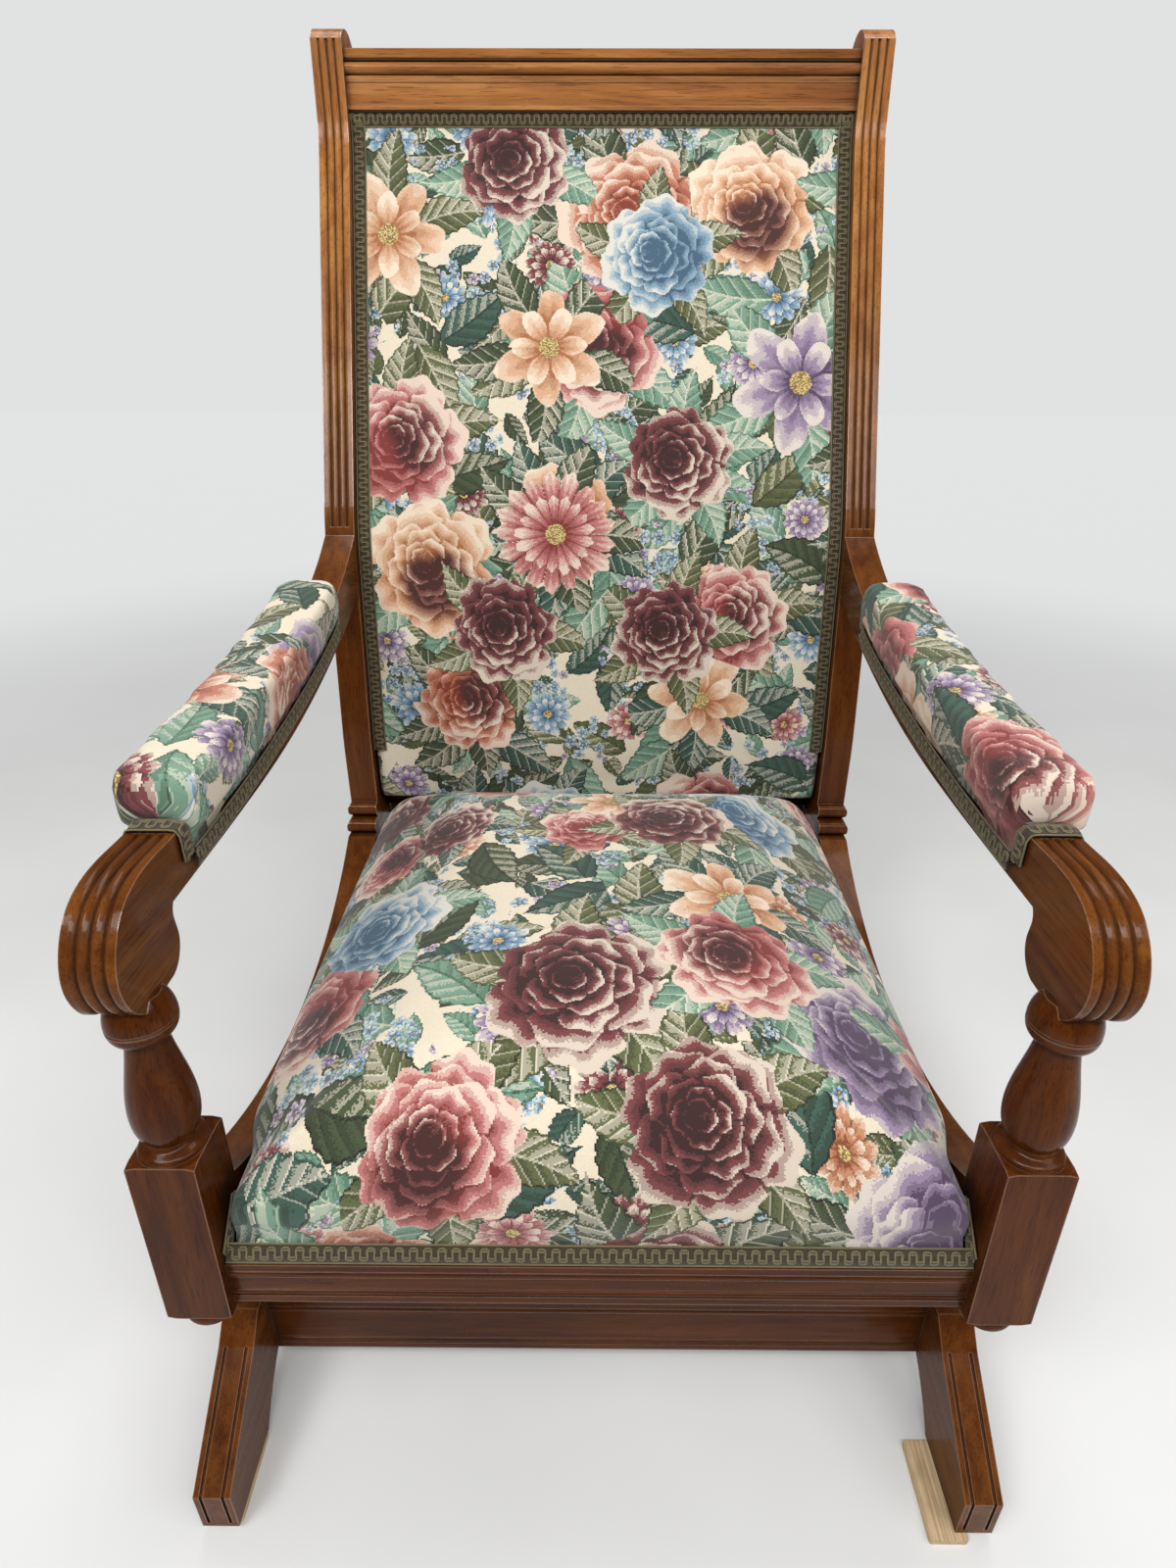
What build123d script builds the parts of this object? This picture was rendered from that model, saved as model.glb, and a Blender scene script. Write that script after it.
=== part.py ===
from build123d import *
import os
from math import cos, hypot, radians, sin, sqrt

os.makedirs("parts", exist_ok=True)

# A platform rocker: a sprung, upholstered chair that rocks on the flat rails of its own low base.
# Millimetres, +Z up.  The chair faces -Y and is the same on both sides of the plane X = 0.
# The side view is drawn in stations, measured backwards from the toes of the front feet, and in
# heights above the floor.  Each mating piece is cut by its neighbour, so that the faces meet.

# ---- widths
frame_width = 600.0         # over the outer faces of the side frames
board = 32.0                # thickness of the stiles, arms and rocker rails
base_board = 28.0           # thickness of the base rails and feet
post_square = 45.0          # front post block
post_proud = 3.0            # the block stands this far outside the arm

# ---- base
platform_top = 120.0        # the flat on which the rockers roll
rail_underside = 45.0       # underside of the base rail between its feet
glide_height = 6.0          # slips under the soles
slip_out = 20.0             # the right front slip is a longer offcut: its reach inwards,
slip_under = 9.0            # its width under the sole
slip_ahead = 5.0            # and its reach in front of the toe
toe_height = 46.0
foot_slope_run = 77.0       # the reeded slope of a foot, in plan
foot_slope_top = 101.0
foot_ledge = 17.0           # small flat between the slope and the platform
foot_length = 110.0         # toe to the joint with the base rail
sole_length = 66.0
stretcher_thickness = 24.0
stretcher_height = 62.0

# ---- rocking
pivot_station = 380.0       # the contact point at rest
contact_gap = 0.3
tip_radius = 30.0           # the rocker's lowest arc, centred on the rocking axis
forward_limit = 8.0
backward_limit = 10.0
flank_extra = 0.5           # degrees that each flank rises above its limit
flank_length = 62.0

# ---- chair frame
block_bottom = 196.0
block_height = 145.0
post_station = 66.5         # post axis at the height of its block's middle
post_lean = 2.5             # degrees, backwards
arm_underside = 456.0       # flat under the scroll, over the post
seat_rail_bottom = 203.0
seat_rail_top = 243.0
seat_rail_front = 50.0
seat_rail_thickness = 27.0
side_rail_thickness = 26.0
stile_depth = 60.0
stile_foot = 278.0          # height of the joint between stile and rocker rail
crest_bottom = 1061.0
crest_nose = 11.0           # half-round along the lower edge of the crest rail
crest_height = 22.0
crest_setback = 1.0         # from the stiles' top front corner to the nose of the crest rail
crest_gap = 0.5
stile_above_crest = 29.0    # from the crest rail's underside to the stiles' front top corner
back_rail_height = 30.0     # the flat rail under the crest rail
back_rail_setback = 8.0
back_rail_bead = 1.2        # how proud its two beads stand
back_rail_thickness = 22.0
lower_back_rail_bottom = 286.0

# ---- upholstery
crown_height = 378.0        # top of the domed seat
seat_rear = 594.0
cushion_thickness = 34.0
cushion_setback = 13.0      # from the stiles' front edge to the face of the back panel
cushion_side_gap = 4.0      # between the seat cushion and the front posts' blocks
hollow_height = 79.0        # of the seat springs' space, above the seat rails
pad_rise = 36.0
pad_overhang = 12.0
pad_rounding = 14.0
pad_front = 150.0
pad_rear = 520.0
pad_skirt = 24.0            # how far the pad's cloth comes down over the arm's sides
skirt_thickness = 3.0
braid_width = 15.0
braid_thickness = 2.5
cloth = 1.5
strap_width = 45.0
strap_thickness = 1.4
seat_straps_along, seat_straps_across = 4, 4
back_straps_upright, back_straps_across = 3, 5
seat_spring_radius = 34.0
seat_spring_wire = 1.8
seat_spring_turns = 5
seat_spring_rows = 3
seat_spring_spacing = 110.0
corner_block_leg = 46.0
clearance = 0.3

# ---- iron parts
plate = 3.0
bracket_length = 96.0
bracket_reach = 38.0
lower_shelf = 97.0
upper_shelf = 190.0
coil_radius = 13.0
coil_wire = 2.0
coil_turns = 7
coil_offset = 30.0          # springs stand this far before and behind the contact point
screw_radius = 2.2
screw_length = 14.0
screw_head_radius = 4.5
screw_head_height = 2.4

# ---- side view of the stile's front edge: foot, knee, waist, shoulder and top
stile_line = [(597.0, 262.0), (599.0, 390.0), (632.0, 624.0), (796.0, 1008.0),
              (803.0, crest_bottom + stile_above_crest)]
stile_bends = [260.0, 230.0, 120.0]
head_run = 36.0             # the rounded head rises from the front edge over this distance
head_rise = 11.0
head_drop = 24.0            # from the stile's front corner down to the end of the rounding, behind

# ---- side view of the arm
arm_top = [(650.0, 634.0), (512.0, 573.0), (376.0, 549.5), (250.0, 538.0), (138.5, 535.0)]
scroll = [(138.5, 535.0), (99.0, 536.0), (68.0, 528.0), (50.0, 508.5), (44.6, 487.0), (50.5, 468.0),
          (64.0, arm_underside)]
bulb = [(98.0, arm_underside), (110.0, 463.5), (115.0, 477.0), (114.0, 490.0), (117.5, 498.0)]
arm_bottom = [(117.5, 498.0), (228.0, 498.5), (340.0, 503.0), (462.5, 520.0), (560.0, 543.0),
              (655.0, 575.0)]

# ---- section of the seat's dome: half-widths inside its side, and heights
seat_shoulder = [(0.0, 266.0), (4.0, 290.0), (17.0, 313.0), (46.0, 336.0), (104.0, 358.0)]

# ---- turning of the front post: radii, and heights above its block (below it for the button)
button = [(17.5, -14.0), (20.5, -8.5), (14.5, 0.0)]
base_disc = [(21.8, 0.0), (21.3, 3.0), (16.8, 6.0), (15.0, 10.0)]
belly = [(15.0, 10.0), (19.3, 17.0), (21.0, 24.5), (21.5, 33.0), (20.2, 48.0), (16.8, 66.0), (13.8, 82.0),
         (12.8, 90.0)]
cap = [(12.8, 90.0), (19.6, 94.5), (21.4, 103.0), (19.8, 112.5), (15.0, 121.5)]
groove_heights = [24.5, 31.0, 102.0]
groove_wire = 1.0

# ---- reeding: shallow flutes between half-round reeds
reeds = 4
reed_depth = 2.8
flute_foot = 632.0          # the flutes of a stile stop here

outer = frame_width / 2
inner = outer - board
base_inner = outer - base_board
post_centre = outer + post_proud - post_square / 2
post_inner = post_centre - post_square / 2
back_rail_bottom = crest_bottom - back_rail_height
rock_height = platform_top + contact_gap + tip_radius
base_length = 2 * pivot_station

nodes = {}


# ---------------------------------------------------------------- helpers for the side view

def parallel(points, distance):
    """The corners of an open line of straight runs, moved sideways (backwards) by a distance."""
    runs = []
    for (s1, h1), (s2, h2) in zip(points, points[1:]):
        length = hypot(s2 - s1, h2 - h1)
        ds, dh = (s2 - s1) / length, (h2 - h1) / length
        runs.append((s1 + dh * distance, h1 - ds * distance, ds, dh))
    moved = [runs[0][:2]]
    for (s1, h1, ds1, dh1), (s2, h2, ds2, dh2) in zip(runs, runs[1:]):
        along = ((s2 - s1) * dh2 - (h2 - h1) * ds2) / (ds1 * dh2 - dh1 * ds2)
        moved.append((s1 + along * ds1, h1 + along * dh1))
    _, _, ds, dh = runs[-1]
    moved.append((points[-1][0] + dh * distance, points[-1][1] - ds * distance))
    return moved


def stile_curve(distance, shortened=0.0):
    """The stile's front edge moved backwards: knee and waist turn back, the shoulder turns up."""
    knee, waist, shoulder = stile_bends
    radii = [knee - distance, waist - distance, shoulder + distance]
    corners = parallel(stile_line, distance)
    (s1, h1), (s2, h2) = corners[-2:]
    kept = 1 - shortened / (h2 - h1)
    corners[-1] = (s1 + (s2 - s1) * kept, h1 + (h2 - h1) * kept)
    return FilletPolyline(*corners, radius=radii)


def stile_strip(near, far, low, high):
    """The part of the side view between two curves parallel to the stile and two heights."""
    front, back = stile_curve(near), stile_curve(far)
    band = make_face([front, back, Line(front @ 0, back @ 0), Line(front @ 1, back @ 1)])
    tall = high - low
    window = Pos(stile_line[2][0], (low + high) / 2) * Rectangle(frame_width * 2, tall)
    return band & window


def board_from(profile, near, far):
    """A board cut from a side view, between two distances from the middle plane."""
    return extrude(Plane.YZ.offset(near) * profile, amount=far - near)


def across(profile, half_width):
    """A piece that runs across the chair with one section."""
    return board_from(profile, -half_width, half_width)


def add_pair(name, right):
    nodes[name + "_right"] = right
    nodes[name + "_left"] = mirror(right, about=Plane.YZ)


def block(x1, x2, s1, s2, h1, h2):
    """A rectangular block between pairs of distances, stations and heights."""
    return Pos((x1 + x2) / 2, (s1 + s2) / 2, (h1 + h2) / 2) * Box(x2 - x1, s2 - s1, h2 - h1)


def flute_section(pitch, width_left):
    """The cut between two half-round reeds: y points into the wood."""
    half = pitch / 2
    radius = (half ** 2 + reed_depth ** 2) / (2 * reed_depth)

    def depth_at(x):
        return radius - sqrt(radius ** 2 - (half - abs(x)) ** 2)

    edge = half - width_left
    middle = edge / 2
    outside = -1.0
    left = ThreePointArc((-edge, depth_at(edge)), (-middle, depth_at(middle)), (0, reed_depth))
    right = ThreePointArc((0, reed_depth), (middle, depth_at(middle)), (edge, depth_at(edge)))
    lid = Polyline((edge, depth_at(edge)), (edge, outside), (-edge, outside), (-edge, depth_at(edge)))
    return make_face([left, right, lid])


def flutes(path, near, far, turned=1):
    """Cutters for the flutes between the reeds, along a path in the side view.

    The wood lies on the path's right in the side view, or on its left where turned is -1.
    """
    pitch = (far - near) / reeds
    section = flute_section(pitch, pitch * 0.06)
    route = Plane.YZ * Wire(path.edges())
    cutters = []
    for count in range(1, reeds):
        line = Pos(near + count * pitch, 0, 0) * route
        start = Plane(origin=line @ 0, x_dir=(turned, 0, 0), z_dir=line % 0)
        cutters.append(sweep(start * section, path=line))
    return cutters


# ---------------------------------------------------------------- base

def base_side():
    """Flat rail and two feet of the right side, as three pieces that meet at vertical joints."""
    rear_joint = base_length - foot_length
    rail = block(base_inner, outer, foot_length, rear_joint, rail_underside, platform_top)

    ledge_end = foot_slope_run + foot_ledge
    top_edge = [(0, glide_height), (0, toe_height), (foot_slope_run, foot_slope_top),
                (ledge_end, platform_top - 2), (ledge_end + 2, platform_top), (foot_length, platform_top)]
    joint = Line((foot_length, platform_top), (foot_length, rail_underside))
    arch = ThreePointArc((foot_length, rail_underside), (foot_length - 20, rail_underside - 14),
                         (sole_length, glide_height))
    sole = Line((sole_length, glide_height), (0, glide_height))
    foot = board_from(make_face([Polyline(*top_edge), joint, arch, sole]), base_inner, outer)

    groove_width, groove_depth, bead = 2.4, 1.8, 4.5
    slope = [(0, toe_height), (foot_slope_run, foot_slope_top)]
    toe = [(0, glide_height + 4), (0, toe_height)]
    for low, high in (toe, slope):
        ds, dh = high[0] - low[0], high[1] - low[1]
        length = hypot(ds, dh)
        into = (dh / length * groove_depth, -ds / length * groove_depth)
        cut = Polyline(low, high, (high[0] + into[0], high[1] + into[1]),
                       (low[0] + into[0], low[1] + into[1]), low)
        for x in (base_inner + bead, outer - bead - groove_width):
            foot -= board_from(make_face(cut), x, x + groove_width)
    rear_foot = mirror(foot, about=Plane.XZ.offset(-pivot_station))
    return rail, foot, rear_foot


def moulded_rail(front, bottom, top, thickness):
    """Section of a cross rail: a flat field between two small beads, each beside a flat band."""
    band, quirk, groove, bead, field = 7.0, 1.9, 0.8, 5.0, 0.8
    deep, radius = front + quirk, bead / 2
    upper_top = top - band - groove
    upper = ThreePointArc((deep, upper_top), (deep - radius, upper_top - radius), (deep, upper_top - bead))
    lower_low = bottom + band + groove
    lower = ThreePointArc((deep, lower_low + bead), (deep - radius, lower_low + radius), (deep, lower_low))
    field_top, field_low = upper_top - bead - groove, lower_low + bead + groove
    edges = [
        Polyline((front, top), (front, top - band), (deep, top - band), (deep, upper_top)),
        upper,
        Polyline((deep, upper_top - bead), (deep, field_top), (front + field, field_top),
                 (front + field, field_low), (deep, field_low), (deep, lower_low + bead)),
        lower,
        Polyline((deep, lower_low), (deep, bottom + band), (front, bottom + band), (front, bottom),
                 (front + thickness, bottom), (front + thickness, top), (front, top)),
    ]
    return make_face(edges)


def slip(x1, x2, s1, s2):
    """A thin slip under a sole, round at its front end."""
    radius = (x2 - x1) / 2 - 0.2
    strip = block(x1, x2, s1, s2, 0, glide_height)
    corners = strip.edges().filter_by(Axis.Z).sort_by(Axis.Y)[:2]
    return fillet(corners, radius=radius)


def build_base():
    rail, foot, rear_foot = base_side()
    stretcher_top = rail_underside + stretcher_height
    front = moulded_rail(foot_length, rail_underside, stretcher_top, stretcher_thickness)
    stretcher = across(front, base_inner)
    add_pair("base_rail", rail)
    add_pair("base_foot_front", foot)
    add_pair("base_foot_rear", rear_foot)
    nodes["base_stretcher_front"] = stretcher
    nodes["base_stretcher_rear"] = mirror(stretcher, about=Plane.XZ.offset(-pivot_station))

    half = base_board / 2 - 0.5
    glide = Compound(children=[slip(base_inner, base_inner + half, 3, sole_length - 2),
                               slip(outer - half, outer, 3, sole_length - 2)])
    long_slip = block(base_inner - slip_out, base_inner + slip_under, -slip_ahead, sole_length - 4, 0, glide_height)
    long_slip = fillet(long_slip.edges().filter_by(Axis.Z), radius=1.5)
    nodes["glide_front_left"] = mirror(glide, about=Plane.YZ)
    nodes["glide_front_right"] = long_slip
    add_pair("glide_rear", mirror(glide, about=Plane.XZ.offset(-pivot_station)))


# ---------------------------------------------------------------- rocker rails and springs

def rocker_profile():
    """Side view of the rocker rail: hollow top edge, and a lower edge that rolls."""
    centre = (pivot_station, rock_height)

    def flank(angle, side):
        slope = radians(angle + flank_extra)
        tip = (centre[0] + side * tip_radius * sin(slope), centre[1] - tip_radius * cos(slope))
        run = (side * cos(slope), sin(slope))
        end = (tip[0] + run[0] * flank_length, tip[1] + run[1] * flank_length)
        return tip, end, run

    fore_tip, fore_end, fore_run = flank(forward_limit, -1)
    aft_tip, aft_end, aft_run = flank(backward_limit, 1)
    post_back = post_station + post_square / 2 - 6
    front_low = (post_back, block_bottom + 22)
    front_high = (post_back, stile_foot + 4)
    rear_low = (stile_line[0][0] + 28, 196)
    rear_mid = (stile_line[0][0] + stile_depth - 8, 226)
    rear_high = (stile_line[0][0] + stile_depth, stile_foot + 2)
    collar_front = (stile_line[0][0] - 29, stile_foot + 2)
    edges = [
        ThreePointArc(fore_tip, (centre[0], centre[1] - tip_radius), aft_tip),
        Line(aft_tip, aft_end),
        TangentArc(aft_end, rear_low, tangent=aft_run),
        ThreePointArc(rear_low, rear_mid, rear_high),
        Line(rear_high, collar_front),
        ThreePointArc(collar_front, (pivot_station + 2, 212.5), front_high),
        Line(front_high, front_low),
        TangentArc(fore_end, front_low, tangent=fore_run),
        Line(fore_end, fore_tip),
    ]
    return make_face(edges)


def radius_at(line, height):
    """Radius of a turned profile at a height, between its two nearest points."""
    for (r1, h1), (r2, h2) in zip(line, line[1:]):
        if h1 <= height <= h2:
            return r1 + (r2 - r1) * (height - h1) / (h2 - h1)


def front_post():
    """Turned post on its own axis, height 0 at the underside of the block."""

    def above(line):
        return [(radius, block_height + height) for radius, height in line]

    low, high = button[0], above(cap)[-1]
    outline = make_face([
        Polyline((0, low[1]), low),
        ThreePointArc(*button),
        Polyline(button[-1], (button[-1][0], block_height), above(base_disc)[0]),
        Spline(*above(base_disc)),
        Spline(*above(belly)),
        Spline(*above(cap)),
        Polyline(high, (0, high[1]), (0, low[1])),
    ])
    turned = revolve(Plane.XZ * outline, axis=Axis.Z)
    square = Pos(0, 0, block_height / 2) * Box(post_square, post_square, block_height)
    rounding = Pos(0, 0, block_height / 2) * Sphere(hypot(block_height, post_square) / 2 + 1.6)
    post = turned + (square & rounding)
    for height in groove_heights:
        reach = radius_at(cap if height > belly[-1][1] else belly, height)
        post -= Pos(0, 0, block_height + height) * Torus(reach + 0.2, groove_wire)
    seat = Pos(post_centre, post_station, block_bottom + block_height / 2)
    return seat * Rot(X=-post_lean) * Pos(0, 0, -block_height / 2) * post


def collar(foot):
    """Two beads round the foot of a stile, the lower one longer to the front."""
    front, rear = stile_line[0][0], stile_line[0][0] + stile_depth
    rings = []
    for low, reach in ((foot, 21), (foot + 17, 9)):
        ring = block(inner, outer + 2.5, front - reach, rear + 2.5, low, low + 16)
        faces = ring.faces()
        shown = faces.sort_by(Axis.Y)[0], faces.sort_by(Axis.Y)[-1], faces.sort_by(Axis.X)[-1]
        edges = [edge for face in shown for edge in face.edges() if abs((edge % 0.5).Z) < 0.5
                 and edge.center().X > inner + 1]
        rings.append(fillet(ShapeList(set(edges)), radius=6.5))
    return rings


def build_side_frames():
    rocker = board_from(rocker_profile(), inner, outer)
    post = front_post()
    rocker -= post

    front, back = stile_curve(0), stile_curve(stile_depth, head_drop)
    corner = stile_line[-1]
    head = ThreePointArc(corner, (corner[0] + head_run, corner[1] + head_rise), back @ 1)
    outline = make_face([front, back, head, Line(front @ 0, back @ 0)])
    stile = board_from(outline, inner, outer)
    for ring in collar(stile_foot + 2):
        stile += ring
    stile -= rocker
    stile -= block(inner - 9, outer + 9, stile_line[0][0] - 60, stile_line[0][0] + 90, 0, stile_foot + 2)
    cut_above = block(inner - 1, outer + 1, 0, 2 * base_length, flute_foot, 2 * stile_line[-1][1])
    for cutter in flutes(front, inner, outer):
        stile -= cutter & cut_above

    top = Spline(*arm_top)
    nose = Spline(*scroll, tangents=[(-1, 0.02), (1, -0.5)])
    lobe = Spline(*bulb)
    under = Spline(*arm_bottom)
    foot = Line(scroll[-1], bulb[0])
    rear = Line(arm_bottom[-1], arm_top[0])
    arm = board_from(make_face([top, nose, foot, lobe, under, rear]), inner, outer)
    arm -= board_from(outline, inner, outer)
    for cutter in flutes(nose, inner, outer, turned=-1):
        arm -= cutter
    post -= arm

    add_pair("rocker_rail", rocker)
    add_pair("back_stile", stile)
    add_pair("arm", arm)
    add_pair("front_post", post)
    return top


# ---------------------------------------------------------------- seat and back frames

def build_seat_frame():
    post = nodes["front_post_right"]
    posts = post + nodes["front_post_left"]
    front = across(moulded_rail(seat_rail_front, seat_rail_bottom, seat_rail_top, seat_rail_thickness),
                   post_centre)
    nodes["front_seat_rail"] = front - posts
    rail_back = seat_rail_front + seat_rail_thickness
    rear_front = seat_rear - seat_rail_thickness
    side = block(inner - side_rail_thickness, inner, rail_back, rear_front, seat_rail_bottom, seat_rail_top)
    side -= post
    add_pair("seat_side_rail", side)
    nodes["rear_seat_rail"] = block(-inner, inner, rear_front, seat_rear, seat_rail_bottom, seat_rail_top)

    reach = inner - side_rail_thickness
    low, high = seat_rail_bottom + 4, seat_rail_top - 6
    blocks = []
    for side_sign in (1, -1):
        for corner, turn in ((rail_back, 1), (rear_front, -1)):
            corner_x = side_sign * reach
            outline = Polyline((corner_x, corner), (corner_x - side_sign * corner_block_leg, corner),
                               (corner_x, corner + turn * corner_block_leg), (corner_x, corner))
            blocks.append(extrude(Plane.XY.offset(low) * make_face(outline), amount=high - low))
    nodes["corner_blocks"] = Compound(children=blocks)


def build_back_frame():
    nose = stile_line[-1][0] + crest_setback
    fascia = nose + 4.0
    quirk = fascia + 1.2
    top = crest_bottom + crest_height
    radius = crest_nose / 2
    nose_top = crest_bottom + crest_nose
    rear = stile_line[-1][0] + stile_depth - 8
    nosing = ThreePointArc((nose + radius, nose_top), (nose, crest_bottom + radius), (nose + radius, crest_bottom))
    rest = Polyline((nose + radius, crest_bottom), (rear, crest_bottom), (rear, top - 4), (rear - 8, top),
                    (fascia, top), (fascia, nose_top + 3.5), (quirk, nose_top + 2), (fascia - 2, nose_top + 1),
                    (quirk, nose_top), (nose + radius, nose_top))
    nodes["crest_rail"] = across(make_face([nosing, rest]), inner)

    rail_far = back_rail_setback + back_rail_thickness
    rail_top = crest_bottom - crest_gap
    top_rail = stile_strip(back_rail_setback, rail_far, back_rail_bottom, rail_top)
    bead_face = back_rail_setback - back_rail_bead
    upper_bead = stile_strip(bead_face, back_rail_setback, rail_top - 6, rail_top)
    lower_bead = stile_strip(bead_face, back_rail_setback, back_rail_bottom, back_rail_bottom + 4)
    rail = across(top_rail, inner)
    for bead in (upper_bead, lower_bead):
        strip = across(bead, inner)
        front_face = strip.faces().sort_by(Axis.Y)[0]
        long_edges = front_face.edges().filter_by(Axis.X)
        rail += fillet(long_edges, radius=0.8 * back_rail_bead)
    nodes["top_back_rail"] = rail

    panel_back = cushion_setback + cushion_thickness
    low_rail = stile_strip(panel_back, stile_depth - cloth, lower_back_rail_bottom, lower_back_rail_bottom + 40)
    nodes["bottom_back_rail"] = across(low_rail, inner)


# ---------------------------------------------------------------- upholstery

def spaced(low, high, count):
    """The middles of equal shares of a length."""
    share = (high - low) / count
    return [low + share * (number + 0.5) for number in range(count)]


def build_seat():
    front = seat_rail_front + braid_thickness
    side = post_inner - cushion_side_gap
    low = seat_rail_top
    profile = make_face([
        Polyline((seat_rear, low), (front, low), (front, low + 22)),
        Spline((front, low + 22), (front + 12, crown_height - 60), (front + 58, crown_height - 20),
               (250, crown_height - 2), (400, crown_height - 4), (540, crown_height - 26),
               (seat_rear, crown_height - 56)),
        Line((seat_rear, crown_height - 56), (seat_rear, low)),
    ])
    right = [(side - inwards, height) for inwards, height in seat_shoulder]
    left = [(-x, height) for x, height in reversed(right)]
    section = make_face([
        Polyline(left[-1], (-side, low), (side, low), right[0]),
        Spline(*right, (0, crown_height + 3), *left),
    ])
    cushion = across(profile, side) & extrude(Plane.XZ * section, amount=-2 * base_length)
    hollow_side = inner - side_rail_thickness - 26
    hollow_top = low + hollow_height
    hollow_rear = seat_rear - seat_rail_thickness - 10
    hollow_front = seat_rail_front + seat_rail_thickness + 12
    cushion -= block(-hollow_side, hollow_side, hollow_front, hollow_rear, low - 1, hollow_top)
    nodes["seat_cushion"] = cushion
    nodes["spring_cover"] = block(-hollow_side, hollow_side, hollow_front, hollow_rear,
                                  hollow_top - cloth, hollow_top)

    web = seat_rail_bottom - strap_thickness
    half = strap_width / 2
    straps = [block(x - half, x + half, seat_rail_front + 8, seat_rear - 6, web, seat_rail_bottom)
              for x in spaced(-inner * 0.8, inner * 0.8, seat_straps_along)]
    straps += [block(-inner + 6, inner - 6, s - half, s + half, web - strap_thickness, web)
               for s in spaced(hollow_front, hollow_rear, seat_straps_across)]
    nodes["seat_webbing"] = Compound(children=straps)
    dust_high = web - strap_thickness
    dust = block(-inner + 4, inner - 4, seat_rail_front + 6, seat_rear - 3, dust_high - cloth, dust_high)
    nodes["dust_cloth"] = dust - nodes["front_post_right"] - nodes["front_post_left"]

    tall = hollow_top - cloth - seat_rail_bottom - 2 * seat_spring_wire
    coil = Helix(pitch=tall / seat_spring_turns, height=tall, radius=seat_spring_radius)
    start = Plane(origin=coil @ 0, z_dir=coil % 0)
    spring = sweep(start * Circle(seat_spring_wire), path=coil)
    middle_row = (hollow_front + hollow_rear) / 2
    foot = seat_rail_bottom + seat_spring_wire + 0.2
    springs = [Pos(x, middle_row + (row - (seat_spring_rows - 1) / 2) * seat_spring_spacing, foot) * spring
               for x in (-seat_spring_spacing, seat_spring_spacing) for row in range(seat_spring_rows)]
    nodes["seat_springs"] = Compound(children=springs)


def build_back():
    panel_back = cushion_setback + cushion_thickness
    low, high = lower_back_rail_bottom + 24, back_rail_bottom
    panel = stile_strip(cushion_setback, panel_back, low, high)
    cushion = across(panel, inner - clearance)
    crown_panel = stile_strip(cushion_setback - 8, cushion_setback + 1, low + 60, high - 60)
    cushion += across(crown_panel, inner - 70)
    cushion -= nodes["top_back_rail"]
    nodes["back_cushion"] = cushion - nodes["seat_cushion"]

    first, second = panel_back, panel_back + strap_thickness
    third = second + strap_thickness
    half = strap_width / 2
    upright = stile_strip(first, second, low + 26, high + 16)
    straps = [board_from(upright, x - half, x + half)
              for x in spaced(-inner * 0.84, inner * 0.84, back_straps_upright)]
    for height in spaced(low + 80, high, back_straps_across):
        straps.append(across(stile_strip(second, third, height - half, height + half), inner - clearance))
    nodes["back_webbing"] = Compound(children=straps) - nodes["top_back_rail"] - nodes["bottom_back_rail"]
    rear_cloth = stile_strip(stile_depth - cloth, stile_depth, seat_rail_bottom + 60, crest_bottom - 2)
    nodes["outside_back_cloth"] = across(rear_cloth, inner - clearance)


def curve_height(curve, station):
    """Height of a side-view curve that runs forwards, above a station."""
    low, high = 0.0, 1.0
    for _ in range(30):
        middle_way = (low + high) / 2
        if (curve @ middle_way).X > station:
            low = middle_way
        else:
            high = middle_way
    return (curve @ low).Y


def band_below(curve, drop, width):
    """A band of the side view, centred a distance below a curve, between the pad's two ends."""
    upper, lower = Pos(0, width / 2 - drop) * curve, Pos(0, -width / 2 - drop) * curve
    band = make_face([upper, lower, Line(upper @ 0, lower @ 0), Line(upper @ 1, lower @ 1)])
    window = Pos((pad_front + pad_rear) / 2, arm_underside) * Rectangle(pad_rear - pad_front, frame_width)
    return band & window


def build_arm_pads(top):
    corner, sunk = 16.0, 4.0
    stations = [pad_front + corner, 250, 380, 460, pad_rear - corner]
    crown = [(s, curve_height(top, s) + pad_rise) for s in stations]
    ends_too = [pad_front] + stations + [pad_rear]
    underside = [(s, curve_height(top, s) - sunk) for s in reversed(ends_too)]
    front_end = ThreePointArc((pad_front, crown[0][1] - corner),
                              (pad_front + 0.3 * corner, crown[0][1] - 0.3 * corner), crown[0])
    rear_end = ThreePointArc(crown[-1], (pad_rear - 0.3 * corner, crown[-1][1] - 0.3 * corner),
                             (pad_rear, crown[-1][1] - corner))
    outline = [front_end, Spline(*crown), rear_end, Line((pad_rear, crown[-1][1] - corner), underside[0]),
               Spline(*underside), Line(underside[-1], (pad_front, crown[0][1] - corner))]
    cushion = board_from(make_face(outline), inner - pad_overhang, outer + pad_overhang)
    long_edges = [edge for edge in cushion.faces().filter_by(Axis.X, reverse=True).sort_by(Axis.Z)[-1].edges()
                  if abs((edge % 0.5).X) < 0.1]
    cushion = fillet(long_edges, radius=pad_rounding)
    skirt = board_from(band_below(top, pad_skirt / 2, pad_skirt), inner - skirt_thickness,
                       outer + skirt_thickness)
    pad = cushion + skirt - nodes["arm_right"]
    add_pair("arm_pad", pad)

    strip = band_below(top, pad_skirt, braid_width)
    outside = board_from(strip, outer + skirt_thickness, outer + skirt_thickness + braid_thickness)
    inside = board_from(strip, inner - skirt_thickness - braid_thickness, inner - skirt_thickness)
    add_pair("gimp_arm", Compound(children=[outside, inside]))


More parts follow.
